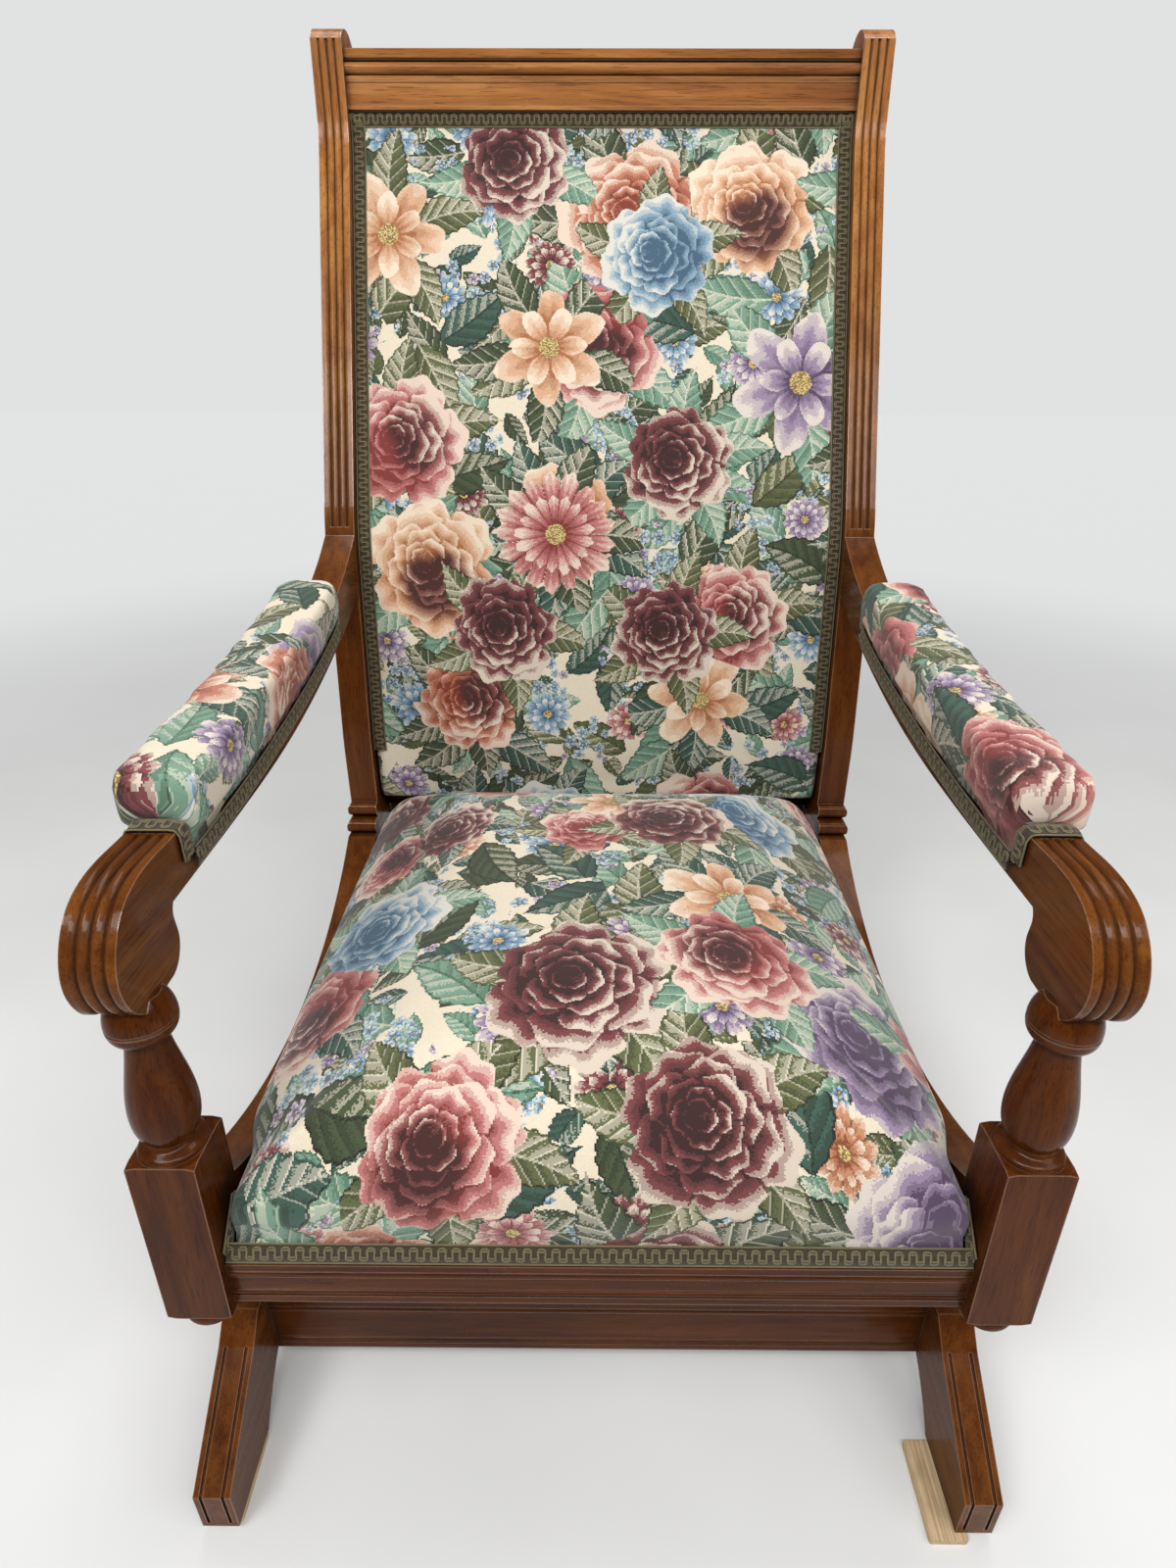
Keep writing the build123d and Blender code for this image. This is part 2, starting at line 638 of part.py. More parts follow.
def build_gimp():
    low = seat_rail_top
    nodes["gimp_seat"] = block(-post_inner + 0.5, post_inner - 0.5, seat_rail_front,
                               seat_rail_front + braid_thickness, low, low + braid_width)
    near = cushion_setback - braid_thickness
    high = back_rail_bottom
    top_strip = stile_strip(near, cushion_setback, high - braid_width, high)
    across_top = across(top_strip, inner - clearance)
    side_strip = stile_strip(near, cushion_setback, lower_back_rail_bottom + 90, high - braid_width)
    right = board_from(side_strip, inner - clearance - braid_width, inner - clearance)
    nodes["gimp_back"] = across_top + right + mirror(right, about=Plane.YZ)


# ---------------------------------------------------------------- iron parts

def bracket(face, shelf, up):
    """An angle iron: an upright plate against the wood and a shelf for the springs."""
    start, end = pivot_station - bracket_length / 2, pivot_station + bracket_length / 2
    upright_height = 30.0
    top = shelf + plate if up else shelf + plate + 12
    upright = block(face - plate, face, start, end, shelf - upright_height, top)
    ledge = block(face - bracket_reach, face - plate, start, end, shelf, shelf + plate)
    return upright + ledge


def screw(x, station, height):
    """Round-headed screw driven outwards, along +X, into the wood behind a plate."""
    shank = Cylinder(screw_radius, screw_length, align=(Align.CENTER, Align.CENTER, Align.MIN))
    ball = Sphere(screw_head_radius) & Box(20, 20, 20, align=(Align.CENTER, Align.CENTER, Align.MAX))
    head = scale(ball, by=(1, 1, screw_head_height / screw_head_radius))
    return Pos(x, station, height) * Rot(Y=90) * (shank + head)


def build_springs():
    lower = bracket(base_inner, lower_shelf, False)
    upper = bracket(inner, upper_shelf, True)
    rows = ((lower, "lower", base_inner, lower_shelf - 16, "base_rail"),
            (upper, "upper", inner, upper_shelf - 14, "rocker_rail"))
    for iron, name, face, height, wood in rows:
        screws = []
        for station in (pivot_station - bracket_length / 3, pivot_station + bracket_length / 3):
            hole = Pos(face - plate - 1, station, height) * Rot(Y=90) * Cylinder(
                screw_radius + 0.05, screw_length + 2, align=(Align.CENTER, Align.CENTER, Align.MIN))
            iron -= hole
            for side in ("_right", "_left"):
                cut = hole if side == "_right" else mirror(hole, about=Plane.YZ)
                nodes[wood + side] = nodes[wood + side] - cut
            right = screw(face - plate, station, height)
            screws += [right, mirror(right, about=Plane.YZ)]
        add_pair("spring_bracket_" + name, iron)
        nodes["bracket_screws_" + name] = Compound(children=screws)

    bottom = lower_shelf + plate
    tall = upper_shelf - bottom - 2 * coil_wire - 2 * clearance
    coil = Helix(pitch=tall / coil_turns, height=tall, radius=coil_radius)
    start = Plane(origin=coil @ 0, z_dir=coil % 0)
    spring = sweep(start * Circle(coil_wire), path=coil)
    x = inner - plate - bracket_reach / 2
    pair = [Pos(x, pivot_station + offset, bottom + coil_wire + clearance) * spring
            for offset in (-coil_offset, coil_offset)]
    add_pair("rocker_springs", Compound(children=pair))


# ---------------------------------------------------------------- assembly

build_base()
arm_curve = build_side_frames()
build_seat_frame()
build_back_frame()
build_seat()
build_back()
build_arm_pads(arm_curve)
build_gimp()
build_springs()

fore = min(shape.bounding_box().min.Y for shape in nodes.values())
aft = max(shape.bounding_box().max.Y for shape in nodes.values())
middle = (fore + aft) / 2
for name, shape in nodes.items():
    export_step(Pos(0, -middle, 0) * shape, f"parts/{name}.step")
print("nodes", len(nodes))
print("middle station", round(middle, 3))
print("rocking axis y, z", round(pivot_station - middle, 3), round(rock_height, 3))
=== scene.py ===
# %% [markdown]
# # A platform rocker in tapestry
#
# A platform rocker is a chair whose curved rails roll on a flat base, held down by coil springs.
# All of it could be modelled here, but the wooden frame, base and irons already have their true
# shapes in the CAD model, so they are loaded and only get their finishes.  What is soft is made
# here: the stuffed seat, back and arm pads, the braid round their edges, the cloths behind and
# below, and the springs.  Everything is in metres.  The chair faces -Y, and its middle plane is
# X = 0.

# %% Load the CAD model
import math

import bpy
import numpy as np
from mathutils import Matrix, Vector
from mathutils.bvhtree import BVHTree


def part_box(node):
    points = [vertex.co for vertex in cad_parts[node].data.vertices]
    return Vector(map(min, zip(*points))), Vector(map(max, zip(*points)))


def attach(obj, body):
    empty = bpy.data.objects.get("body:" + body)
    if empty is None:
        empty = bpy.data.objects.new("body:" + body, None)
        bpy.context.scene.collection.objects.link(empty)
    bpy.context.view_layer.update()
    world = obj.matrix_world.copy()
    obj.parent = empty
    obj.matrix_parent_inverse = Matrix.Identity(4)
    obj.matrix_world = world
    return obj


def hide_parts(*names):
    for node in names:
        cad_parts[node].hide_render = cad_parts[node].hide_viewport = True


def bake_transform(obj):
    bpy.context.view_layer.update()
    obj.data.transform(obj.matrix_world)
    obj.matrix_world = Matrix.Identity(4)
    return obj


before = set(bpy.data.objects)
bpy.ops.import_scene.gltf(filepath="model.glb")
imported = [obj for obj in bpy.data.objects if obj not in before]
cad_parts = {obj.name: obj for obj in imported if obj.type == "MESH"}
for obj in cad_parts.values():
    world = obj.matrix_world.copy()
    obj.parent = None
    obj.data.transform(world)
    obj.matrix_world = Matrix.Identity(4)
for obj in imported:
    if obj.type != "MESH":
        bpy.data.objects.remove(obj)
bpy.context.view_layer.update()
MM = 0.001
SIDES = {"right": 1, "left": -1}
print("CAD nodes", len(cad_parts))

# %% [markdown]
# ## Camera
#
# The photograph was taken with a wide lens from just in front of the chair, looking down into the
# seat.  A camera can be placed by eye, but then every later comparison is a guess.  This one was
# solved from the picture places of the frame's own corners: a position, three angles and a focal
# length in pixels.  A portrait picture fits the 36 mm sensor to its long side, which turns the
# focal length into millimetres.

# %% Place the camera
CAMERA_PLACE = Vector((-0.0067, -0.7562, 0.8080))
PITCH, YAW, ROLL = (math.radians(angle) for angle in (26.90, 0.288, 0.175))
FOCAL_PIXELS, PICTURE_HEIGHT, SENSOR = 878.8, 1600, 36.0

forward = Vector((-math.sin(YAW) * math.cos(PITCH), math.cos(YAW) * math.cos(PITCH), -math.sin(PITCH)))
level = Vector((math.cos(YAW), math.sin(YAW), 0))
upright = level.cross(forward)
right = math.cos(ROLL) * level + math.sin(ROLL) * upright
up = math.cos(ROLL) * upright - math.sin(ROLL) * level

lens = bpy.data.cameras.new("camera")
lens.sensor_width = SENSOR
lens.lens = FOCAL_PIXELS / PICTURE_HEIGHT * SENSOR
lens.clip_start = 0.05
camera = bpy.data.objects.new("camera", lens)
bpy.context.scene.collection.objects.link(camera)
turned = Matrix((right, up, -forward)).transposed().to_4x4()
camera.matrix_world = Matrix.Translation(CAMERA_PLACE) @ turned
bpy.context.scene.camera = camera
print("lens", round(lens.lens, 2), "mm")

# %% [markdown]
# ## Writing shaders as sums
#
# The finishes below are drawn by shader nodes, not by pictures.  Nodes can be placed and linked one
# by one, but a rose takes hundreds of them.  So a `Wire` stands for a value on its way through the
# tree: adding or multiplying two wires adds the node that does so, and a pattern reads like a
# formula.  `Net` adds the other kinds of nodes.


# %% Wires and nets
class Wire:
    """A value on its way through a tree: the output socket that carries it, and its net."""

    def __init__(self, net, socket):
        self.net, self.socket = net, socket

    def __add__(self, other):
        return self.net.math("ADD", self, other)

    def __sub__(self, other):
        return self.net.math("SUBTRACT", self, other)

    def __rsub__(self, other):
        return self.net.math("SUBTRACT", other, self)

    def __mul__(self, other):
        return self.net.math("MULTIPLY", self, other)

    def __truediv__(self, other):
        return self.net.math("DIVIDE", self, other)

    def __rtruediv__(self, other):
        return self.net.math("DIVIDE", other, self)

    def __lt__(self, other):
        return self.net.math("LESS_THAN", self, other)

    def __gt__(self, other):
        return self.net.math("GREATER_THAN", self, other)

    def __pow__(self, other):
        return self.net.math("POWER", self, other)

    __radd__, __rmul__ = __add__, __mul__

    def apply(self, operation, *others):
        return self.net.math(operation, self, *others)

    def clamped(self):
        wire = self.net.math("ADD", self, 0.0)
        wire.socket.node.use_clamp = True
        return wire


class Net:
    """Adds nodes to a tree.  Inputs may be numbers, colours, sockets or wires."""

    def __init__(self, tree):
        self.tree = tree

    def add(self, kind, inputs=None, **settings):
        node = self.tree.nodes.new("ShaderNode" + kind)
        for name, value in settings.items():
            setattr(node, name, value)
        for key, value in (inputs or {}).items():
            value = getattr(value, "socket", value)
            if isinstance(value, bpy.types.NodeSocket):
                self.tree.links.new(value, node.inputs[key])
            else:
                node.inputs[key].default_value = value
        return node

    def math(self, operation, *values):
        return Wire(self, self.add("Math", dict(enumerate(values)), operation=operation).outputs[0])

    def wire(self, node, output=0):
        return Wire(self, node.outputs[output])

    def split(self, vector):
        node = self.add("SeparateXYZ", {0: vector})
        return [self.wire(node, index) for index in range(3)]

    def join(self, x=0.0, y=0.0, z=0.0):
        return self.wire(self.add("CombineXYZ", {0: x, 1: y, 2: z}))

    def mix(self, factor, first, second):
        node = self.add("Mix", {0: factor, 6: first, 7: second}, data_type="RGBA")
        return self.wire(node, 2)

    def blend(self, factor, first, second):
        return self.wire(self.add("Mix", {0: factor, 2: first, 3: second}, data_type="FLOAT"))

    def noise(self, vector, scale, detail=2.0, roughness=0.5, output="Factor"):
        node = self.add("TexNoise", {"Vector": vector, "Scale": scale, "Detail": detail,
                                     "Roughness": roughness})
        return Wire(self, node.outputs[0 if output == "Factor" else 1])

    def after(self, vector, earlier):
        """The same vector, but worked out after an earlier value, which keeps few values waiting."""
        tiny = (1e-7, 1e-7, 1e-7)
        node = self.add("VectorMath", {0: earlier, 1: tiny, 2: vector}, operation="MULTIPLY_ADD")
        return self.wire(node)

    def ramp(self, factor, stops, interpolation="LINEAR"):
        node = self.add("ValToRGB", {0: factor})
        elements = node.color_ramp.elements
        node.color_ramp.interpolation = interpolation
        while len(elements) < len(stops):
            elements.new(0.5)
        for element, (place, colour) in zip(elements, stops):
            element.position = place
            element.color = (*colour, 1.0)
        return self.wire(node)


print("Wire and Net are ready")


# %% [markdown]
# ### Groups and materials
#
# Grain, wear and petals are needed in more than one place.  They could be copied into each material,
# but a node group is built once and placed with its own values.  A group gives only colours, masks
# and heights: the principled shader stays in the material, where an export can read it.

# %% Groups and materials
def shared(name, takes, gives, body):
    """A node group.  takes and gives map socket names to Float, Vector or Color."""
    tree = bpy.data.node_groups.new(name, "ShaderNodeTree")
    for socket, kind in takes.items():
        tree.interface.new_socket(socket, in_out="INPUT", socket_type="NodeSocket" + kind)
    for socket, kind in gives.items():
        tree.interface.new_socket(socket, in_out="OUTPUT", socket_type="NodeSocket" + kind)
    net = Net(tree)
    entry = tree.nodes.new("NodeGroupInput")
    leave = tree.nodes.new("NodeGroupOutput")
    results = body(net, *[Wire(net, entry.outputs[socket]) for socket in takes])
    for socket, value in zip(gives, results):
        tree.links.new(value.socket, leave.inputs[socket])
    print("group", name, "with", len(tree.nodes), "nodes")
    return tree


def use(net, tree, **inputs):
    """Puts a node group in a tree and returns its outputs, in order."""
    node = net.add("Group", node_tree=tree)
    for name, value in inputs.items():
        socket = node.inputs[name.replace("_", " ")]
        value = getattr(value, "socket", value)
        if isinstance(value, bpy.types.NodeSocket):
            net.tree.links.new(value, socket)
        else:
            socket.default_value = value
    return [Wire(net, output) for output in node.outputs]


def material(name, body, **constants):
    """A material whose body returns what feeds the principled shader; constants are set on it."""
    made = bpy.data.materials.new(name)
    made.use_nodes = True
    net = Net(made.node_tree)
    shader = made.node_tree.nodes["Principled BSDF"]
    for socket, value in constants.items():
        shader.inputs[socket.replace("_", " ")].default_value = value
    for socket, value in body(net).items():
        made.node_tree.links.new(value.socket, shader.inputs[socket.replace("_", " ")])
    print("material", name, "with", len(made.node_tree.nodes), "nodes")
    return made


# %% [markdown]
# ## Wood
#
# The frame is old polished hardwood.  A plain brown would look like plastic: what makes wood is long
# streaks with short dark pores.  Both are noise, stretched along the grain, so there is a material
# for each direction that the grain runs in.

# %% Grain
PORE_COLOUR = (0.035, 0.011, 0.004, 1.0)


def grain_body(net, place, tint, darkness):
    """Colour and height of old brown wood.  place is in metres, with the grain along its x."""
    drift = net.noise(place, 2.2, 3.0, output="Color")
    wander = net.add("VectorMath", {0: drift, 1: (0.5, 0.5, 0.5)}, operation="SUBTRACT")
    bent = net.add("VectorMath", {0: wander.outputs[0], 1: (0.0, 0.05, 0.05), 2: place},
                   operation="MULTIPLY_ADD")
    stretched = net.add("VectorMath", {0: bent.outputs[0], 1: (4.0, 90.0, 90.0)}, operation="MULTIPLY")
    bands = net.noise(stretched.outputs[0], 1.0, 4.0, 0.6)
    fine = net.add("VectorMath", {0: place, 1: (28.0, 900.0, 900.0)}, operation="MULTIPLY")
    pores = net.noise(fine.outputs[0], 1.0, 2.0)
    broad = net.noise(place, 5.0, 2.0)
    lightness = (bands * 0.62 + broad * 0.38 - darkness).clamped()
    colour = net.ramp(lightness, [(0.12, (0.040, 0.0100, 0.0030)), (0.36, (0.150, 0.046, 0.011)),
                                  (0.56, (0.300, 0.108, 0.023)), (0.80, (0.48, 0.215, 0.056))])
    dark_pores = (pores < 0.40) * 0.45
    colour = net.mix(dark_pores, colour, PORE_COLOUR)
    stained = net.add("Mix", {0: 1.0, 6: colour, 7: tint}, data_type="RGBA", blend_type="MULTIPLY")
    return net.wire(stained, 2), bands * 0.25 + pores * 0.75


wood_grain = shared("wood grain", {"Place": "Vector", "Tint": "Color", "Darkness": "Float"},
                    {"Colour": "Color", "Height": "Float"}, grain_body)


# %% [markdown]
# ### Wear and painted light
#
# Hands rub edges paler and smoother, and dirt gathers in hollows.  This could be painted by hand on
# every piece.  Here a Bevel node gives the normal that a rounded edge would have: where it differs
# from the true one there is an edge.  Patches of it turn paler, as wear and as a painted highlight,
# and all of it gets more clear coat, which draws the thin highlights along the beads.  Ambient
# occlusion finds the hollows, which get painted shade together with dirt.

# %% Wear and painted light
def wear_and_painted_light_body(net, place, flat_normal, round_normal, shelter):
    """How rubbed, how hollow and how polished a place is.

    An edge shows as an angle between the true and the rounded normal.  A hollow shows as a low
    shelter, which is the ambient occlusion.  Paling the edges is partly wear and partly a painted
    highlight, and darkening the hollows is painted shade together with dirt.
    """
    alike = net.add("VectorMath", {0: flat_normal, 1: round_normal}, operation="DOT_PRODUCT")
    edge = (1.0 - net.wire(alike, 1)) * 9.0
    patchy = net.noise(place, 38.0, 4.0, 0.65)
    # Rubbed edges are partly wear and partly a painted highlight along the beads.
    rubbed_and_glint = ((edge - 0.1) * (patchy * 2.4 - 0.5)).clamped()
    # Hollows are where painted shade goes, together with dirt.
    hollow = ((0.86 - shelter) * 1.9).clamped()
    return rubbed_and_glint, hollow, edge.clamped() * (1.0 - hollow)


wood_wear_and_painted_light = shared("wood wear and painted light", {"Place": "Vector", "Flat normal": "Vector", "Round normal": "Vector",
                                 "Shelter": "Float"},
                   {"Rubbed and glint": "Float", "Hollow shade and dirt": "Float", "Polished": "Float"}, wear_and_painted_light_body)

# %% [markdown]
# ### The five woods
#
# The crest and the stiles are golden, with painted shade that darkens the stiles lower down, near
# the seat.  The arms and rockers are brown, and the turned posts and rails are redder and darker.
# They could be five materials made by hand, but one function makes them all from a tint, so that
# they still look like one chair.  The gloss is uneven, as polish is after years of use.

# %% The five woods
AXES = {"across": (0, 1, 2), "along": (1, 0, 2), "upright": (2, 0, 1)}
ROUNDED_EDGE, WEAR_AND_GLINT_EDGE, HOLLOW_REACH = 0.55 * MM, 1.6 * MM, 14 * MM
# Painted shade on the stiles: the low tint is full below DARK_BELOW and gone above PALE_ABOVE.
DARK_BELOW, PALE_ABOVE = 0.60, 0.98
# Colour of the hollows: painted shade together with dirt.
DIRT_AND_PAINTED_SHADE = (0.012, 0.0042, 0.0020, 1.0)


def wood(name, direction, darkness, tint, worn_and_glint_colour, low_shade_tint=None):
    """One wood finish.  The low tint is painted shade, which darkens the parts near the seat."""
    def body(net):
        place = net.wire(net.add("TexCoord"), "Object")
        parts = net.split(place)
        stain_and_shade = (*tint, 1.0)
        if low_shade_tint:
            unshaded = ((parts[2] - DARK_BELOW) / (PALE_ABOVE - DARK_BELOW)).clamped()
            # The low tint mixed in here is painted shade.
            stain_and_shade = net.mix(unshaded, (*low_shade_tint, 1.0), stain_and_shade)
        turned = net.join(*[parts[axis] for axis in AXES[direction]])
        colour, height = use(net, wood_grain, Place=turned, Tint=stain_and_shade, Darkness=darkness)
        geometry = net.add("NewGeometry")
        bevel = net.add("Bevel", {"Radius": ROUNDED_EDGE}, samples=4)
        wide_bevel = net.add("Bevel", {"Radius": WEAR_AND_GLINT_EDGE}, samples=4)
        shelter = net.add("AmbientOcclusion", {"Distance": HOLLOW_REACH}, samples=4)
        rubbed_and_glint, hollow, polished = use(net, wood_wear_and_painted_light, Place=place, Shelter=net.wire(shelter, "AO"),
                                       Flat_normal=Wire(net, geometry.outputs["Normal"]),
                                       Round_normal=net.wire(wide_bevel))
        # Paler edges: partly wear, partly a painted highlight.
        worn_and_glint = net.mix(rubbed_and_glint * 0.7, colour, (*worn_and_glint_colour, 1.0))
        # Darker hollows: painted shade together with dirt.
        dirty_and_shaded = net.mix(hollow * 0.88, worn_and_glint, DIRT_AND_PAINTED_SHADE)
        gloss = net.noise(place, 24.0, 4.0, 0.6)
        bump = net.add("Bump", {"Strength": 0.22, "Distance": 0.25 * MM, "Height": height,
                                "Normal": net.wire(bevel)})
        return {"Base_Color": dirty_and_shaded, "Roughness": gloss * 0.24 + rubbed_and_glint * 0.08 + hollow * 0.2 + 0.13,
                "Coat_Weight": polished * 0.8 + 0.14, "Normal": net.wire(bump)}
    return material(name, body, Specular_IOR_Level=0.06, Coat_Roughness=0.07)


GOLDEN, BROWN, RED = (1.0, 1.05, 1.25), (0.44, 0.37, 0.26), (0.31, 0.22, 0.10)
# Painted shade for the lower stiles.
STILE_PAINTED_SHADE = (0.27, 0.19, 0.10)
# The edge colours are pale enough to stand for highlights as well as wear.
WORN_AND_GLINT_GOLDEN, WORN_AND_GLINT_BROWN, WORN_AND_GLINT_RED = (0.54, 0.32, 0.16), (0.34, 0.17, 0.085), (0.34, 0.165, 0.09)
golden_upright = wood("golden wood, upright", "upright", -0.11, GOLDEN, WORN_AND_GLINT_GOLDEN, STILE_PAINTED_SHADE)
golden_across = wood("golden wood, across", "across", -0.05, GOLDEN, WORN_AND_GLINT_GOLDEN)
brown_along = wood("brown wood, along", "along", 0.04, BROWN, WORN_AND_GLINT_BROWN)
red_upright = wood("red wood, upright", "upright", 0.04, RED, WORN_AND_GLINT_RED)
red_across = wood("red wood, across", "across", 0.06, RED, WORN_AND_GLINT_RED)


# %% [markdown]
# ### Bare softwood
#
# The slips under the feet and the blocks in the seat's corners never had polish.  They could share
# the wood above, but bare wood has no gloss and shows its rings, so it gets its own few nodes.

# %% Bare softwood
def pale_wood_body(net):
    """Unpolished softwood with brown dirt; its grain runs front to back."""
    place = net.wire(net.add("TexCoord"), "Object")
    stretched = net.add("VectorMath", {0: place, 1: (500.0, 14.0, 500.0)}, operation="MULTIPLY")
    rings = net.noise(stretched.outputs[0], 1.0, 3.0)
    dirt = net.noise(place, 60.0, 3.0)
    colour = net.ramp(rings, [(0.3, (0.42, 0.27, 0.13)), (0.6, (0.66, 0.49, 0.29)),
                              (0.8, (0.74, 0.60, 0.40))])
    colour = net.mix((dirt * 0.9 - 0.3).clamped(), colour, (0.24, 0.17, 0.10, 1.0))
    bump = net.add("Bump", {"Strength": 0.3, "Distance": 0.3 * MM, "Height": rings})
    return {"Base_Color": colour, "Roughness": rings * 0.2 + 0.6, "Normal": net.wire(bump)}


pale_wood = material("pale softwood", pale_wood_body)

# %% [markdown]
# ## Metal
#
# The angle irons are dark and a little rusty, and screws and springs are dull drawn steel.  Rust
# isn't metallic, so the same patchy mask that browns the colour also lowers the metallic value and
# roughens the surface.  That takes one group for all three.

# %% Metal
def rusted_body(net, place, dark, rust, amount):
    """Rust in patches over dark metal: colour, where the rust is, and height."""
    patches = net.noise(place, 70.0, 5.0, 0.7)
    grains = net.noise(place, 900.0, 2.0)
    rusty = ((patches - 0.62 + amount) * 5.0).clamped()
    return net.mix(rusty, dark, rust), rusty, patches * 0.6 + grains * 0.4


rusted = shared("rusted metal", {"Place": "Vector", "Dark": "Color", "Rust": "Color", "Amount": "Float"},
                {"Colour": "Color", "Rusty": "Float", "Height": "Float"}, rusted_body)


def metal(name, dark, rust, amount, roughness):
    """One metal finish; amount says how far the rust has spread."""
    def body(net):
        place = net.wire(net.add("TexCoord"), "Object")
        colour, rusty, height = use(net, rusted, Place=place, Dark=(*dark, 1.0), Rust=(*rust, 1.0),
                                    Amount=amount)
        bump = net.add("Bump", {"Strength": 0.35, "Distance": 0.2 * MM, "Height": height})
        return {"Base_Color": colour, "Metallic": 0.9 - rusty * 0.8,
                "Roughness": rusty * 0.35 + roughness, "Normal": net.wire(bump)}
    return material(name, body)


iron = metal("dark iron", (0.035, 0.033, 0.032), (0.12, 0.045, 0.018), 0.12, 0.42)
steel = metal("screw steel", (0.30, 0.28, 0.26), (0.14, 0.06, 0.03), 0.0, 0.34)
spring_steel = metal("spring steel", (0.16, 0.15, 0.145), (0.12, 0.05, 0.022), 0.04, 0.3)

# %% [markdown]
# ## The tapestry
#
# The cover is a traditional all-over floral on a cream ground, here in a layout of its own.  A
# picture of the cloth would be the usual way, but this one is drawn by nodes, so it stays sharp at
# any distance.  The pattern uses flat cloth coordinates, in metres, which each piece carries as the
# attribute "cloth".
#
# First come scattered centres.  A Voronoi texture gives the nearest centre to each point, and its
# sphere radius tells how large a flower may grow before it touches the next.

# %% Scattered centres
STITCH_WIDTH, STITCH_HEIGHT = 1.25 * MM, 0.9 * MM
TURN = 2 * math.pi


def cells_body(net, place, spacing, shift):
    """Scatters centres over the cloth: place from the nearest, three random numbers, free radius."""
    grid = net.add("VectorMath", {0: place, 3: 1.0 / spacing}, operation="SCALE")
    moved = net.add("VectorMath", {0: grid.outputs[0], 1: shift}, operation="ADD").outputs[0]
    scatter = {"Vector": moved, "Scale": 1.0, "Randomness": 0.72}
    near = net.add("TexVoronoi", scatter, voronoi_dimensions="2D")
    free = net.add("TexVoronoi", scatter, voronoi_dimensions="2D", feature="N_SPHERE_RADIUS")
    local = net.add("VectorMath", {0: moved, 1: near.outputs["Position"]}, operation="SUBTRACT")
    sized = net.add("VectorMath", {0: local.outputs[0], 3: spacing}, operation="SCALE")
    return (net.wire(sized), Wire(net, near.outputs["Color"]), net.wire(free, "Radius") * spacing)


cells = shared("scattered centres", {"Place": "Vector", "Spacing": "Float", "Shift": "Vector"},
               {"Local": "Vector", "Random": "Vector", "Free": "Float"}, cells_body)


# %% [markdown]
# ### Thread shades
#
# A loom has only a few yarns, so a woven petal has no smooth shading.  A tone from 0 to 1 is cut
# into five steps, and the tone is first mixed with a speck that changes from stitch to stitch,
# which breaks the steps' edges up as crossing threads do.

# %% Thread shades
def threads_body(net, tone, base, fleck):
    """Five shades of one thread colour, from nearly black to nearly cream, a little mixed."""
    step = ((tone + fleck * 0.12).clamped() * 4.999).apply("FLOOR") / 4.0
    dark = net.wire(net.add("Gamma", {0: base, 1: 2.0}))
    light = net.mix(0.66, base, (0.82, 0.74, 0.60, 1.0))
    lower = net.mix((step * 2.0).clamped(), dark, base)
    return (net.mix((step * 2.0 - 1.0).clamped(), lower, light),)


threads = shared("thread shades", {"Tone": "Float", "Base": "Color", "Fleck": "Float"},
                 {"Colour": "Color"}, threads_body)


# %% [markdown]
# ### Petals
#
# The flowers on the cloth are rings of petals, seen from above.  Each petal could be a shape of its
# own, but in polar coordinates a whole ring is easy: the angle is divided into as many parts as
# there are petals, and a curve over each part says how far it reaches.

# %% Petals
def petals_body(net, radius, angle, count, turn, reach, fill, light, ruffle, point, root, slope):
    """One ring of petals: where it covers, and its shading from dark root to pale, outlined rim."""
    around = (angle + turn) * count / TURN
    number = around.apply("FLOOR")
    side = (around - number) * 2.0 - 1.0
    chance = net.wire(net.add("TexWhiteNoise", {"W": number + turn * 7.31}, noise_dimensions="1D"))
    wave = (side * 8.0 + turn * 5.0 + chance * 6.0).apply("SINE") * ruffle
    bulge = 1.0 - side * side * point + (chance - 0.5) * 0.16 + wave
    share = radius / (reach * bulge)
    middle = side.apply("ABSOLUTE")
    inside = (share < 1.0) * (middle < fill)
    veins = (side * 9.0 + chance * 6.0).apply("SINE") * 0.07
    tone = light + (share - root) * slope - middle * middle * 0.34 + veins + (chance - 0.5) * 0.34
    seam = middle > (fill - 0.075)
    return inside, (tone - seam * 0.30).clamped()


petals = shared("petal ring", {"Radius": "Float", "Angle": "Float", "Count": "Float", "Turn": "Float",
                               "Reach": "Float", "Fill": "Float", "Light": "Float", "Ruffle": "Float",
                               "Point": "Float", "Root": "Float", "Slope": "Float"},
                {"Inside": "Float", "Tone": "Float"}, petals_body)


def polar(net, local, shift=(0.0, 0.0)):
    """Radius and angle of a place, as seen from a middle that is shifted a little."""
    x, y, _ = net.split(local)
    x, y = x + shift[0], y + shift[1]
    return (x * x + y * y).apply("SQRT"), y.apply("ARCTAN2", x)


# %% [markdown]
# ### Roses
#
# Most of the large flowers are full roses.  One could be drawn as a spiral, but woven ones are read
# as rings: six of them, each drawn over the one outside it, turned, and set a little off the
# middle, so that no two roses look as if they came from a stamp.

# %% Roses
ROSE_RINGS = ((1.00, 6, 0.62), (0.83, 5, 0.56), (0.66, 5, 0.56), (0.50, 4, 0.50), (0.34, 4, 0.50),
              (0.19, 3, 0.36))      # reach, petals, lightness
RING_SHIFT = 0.0016


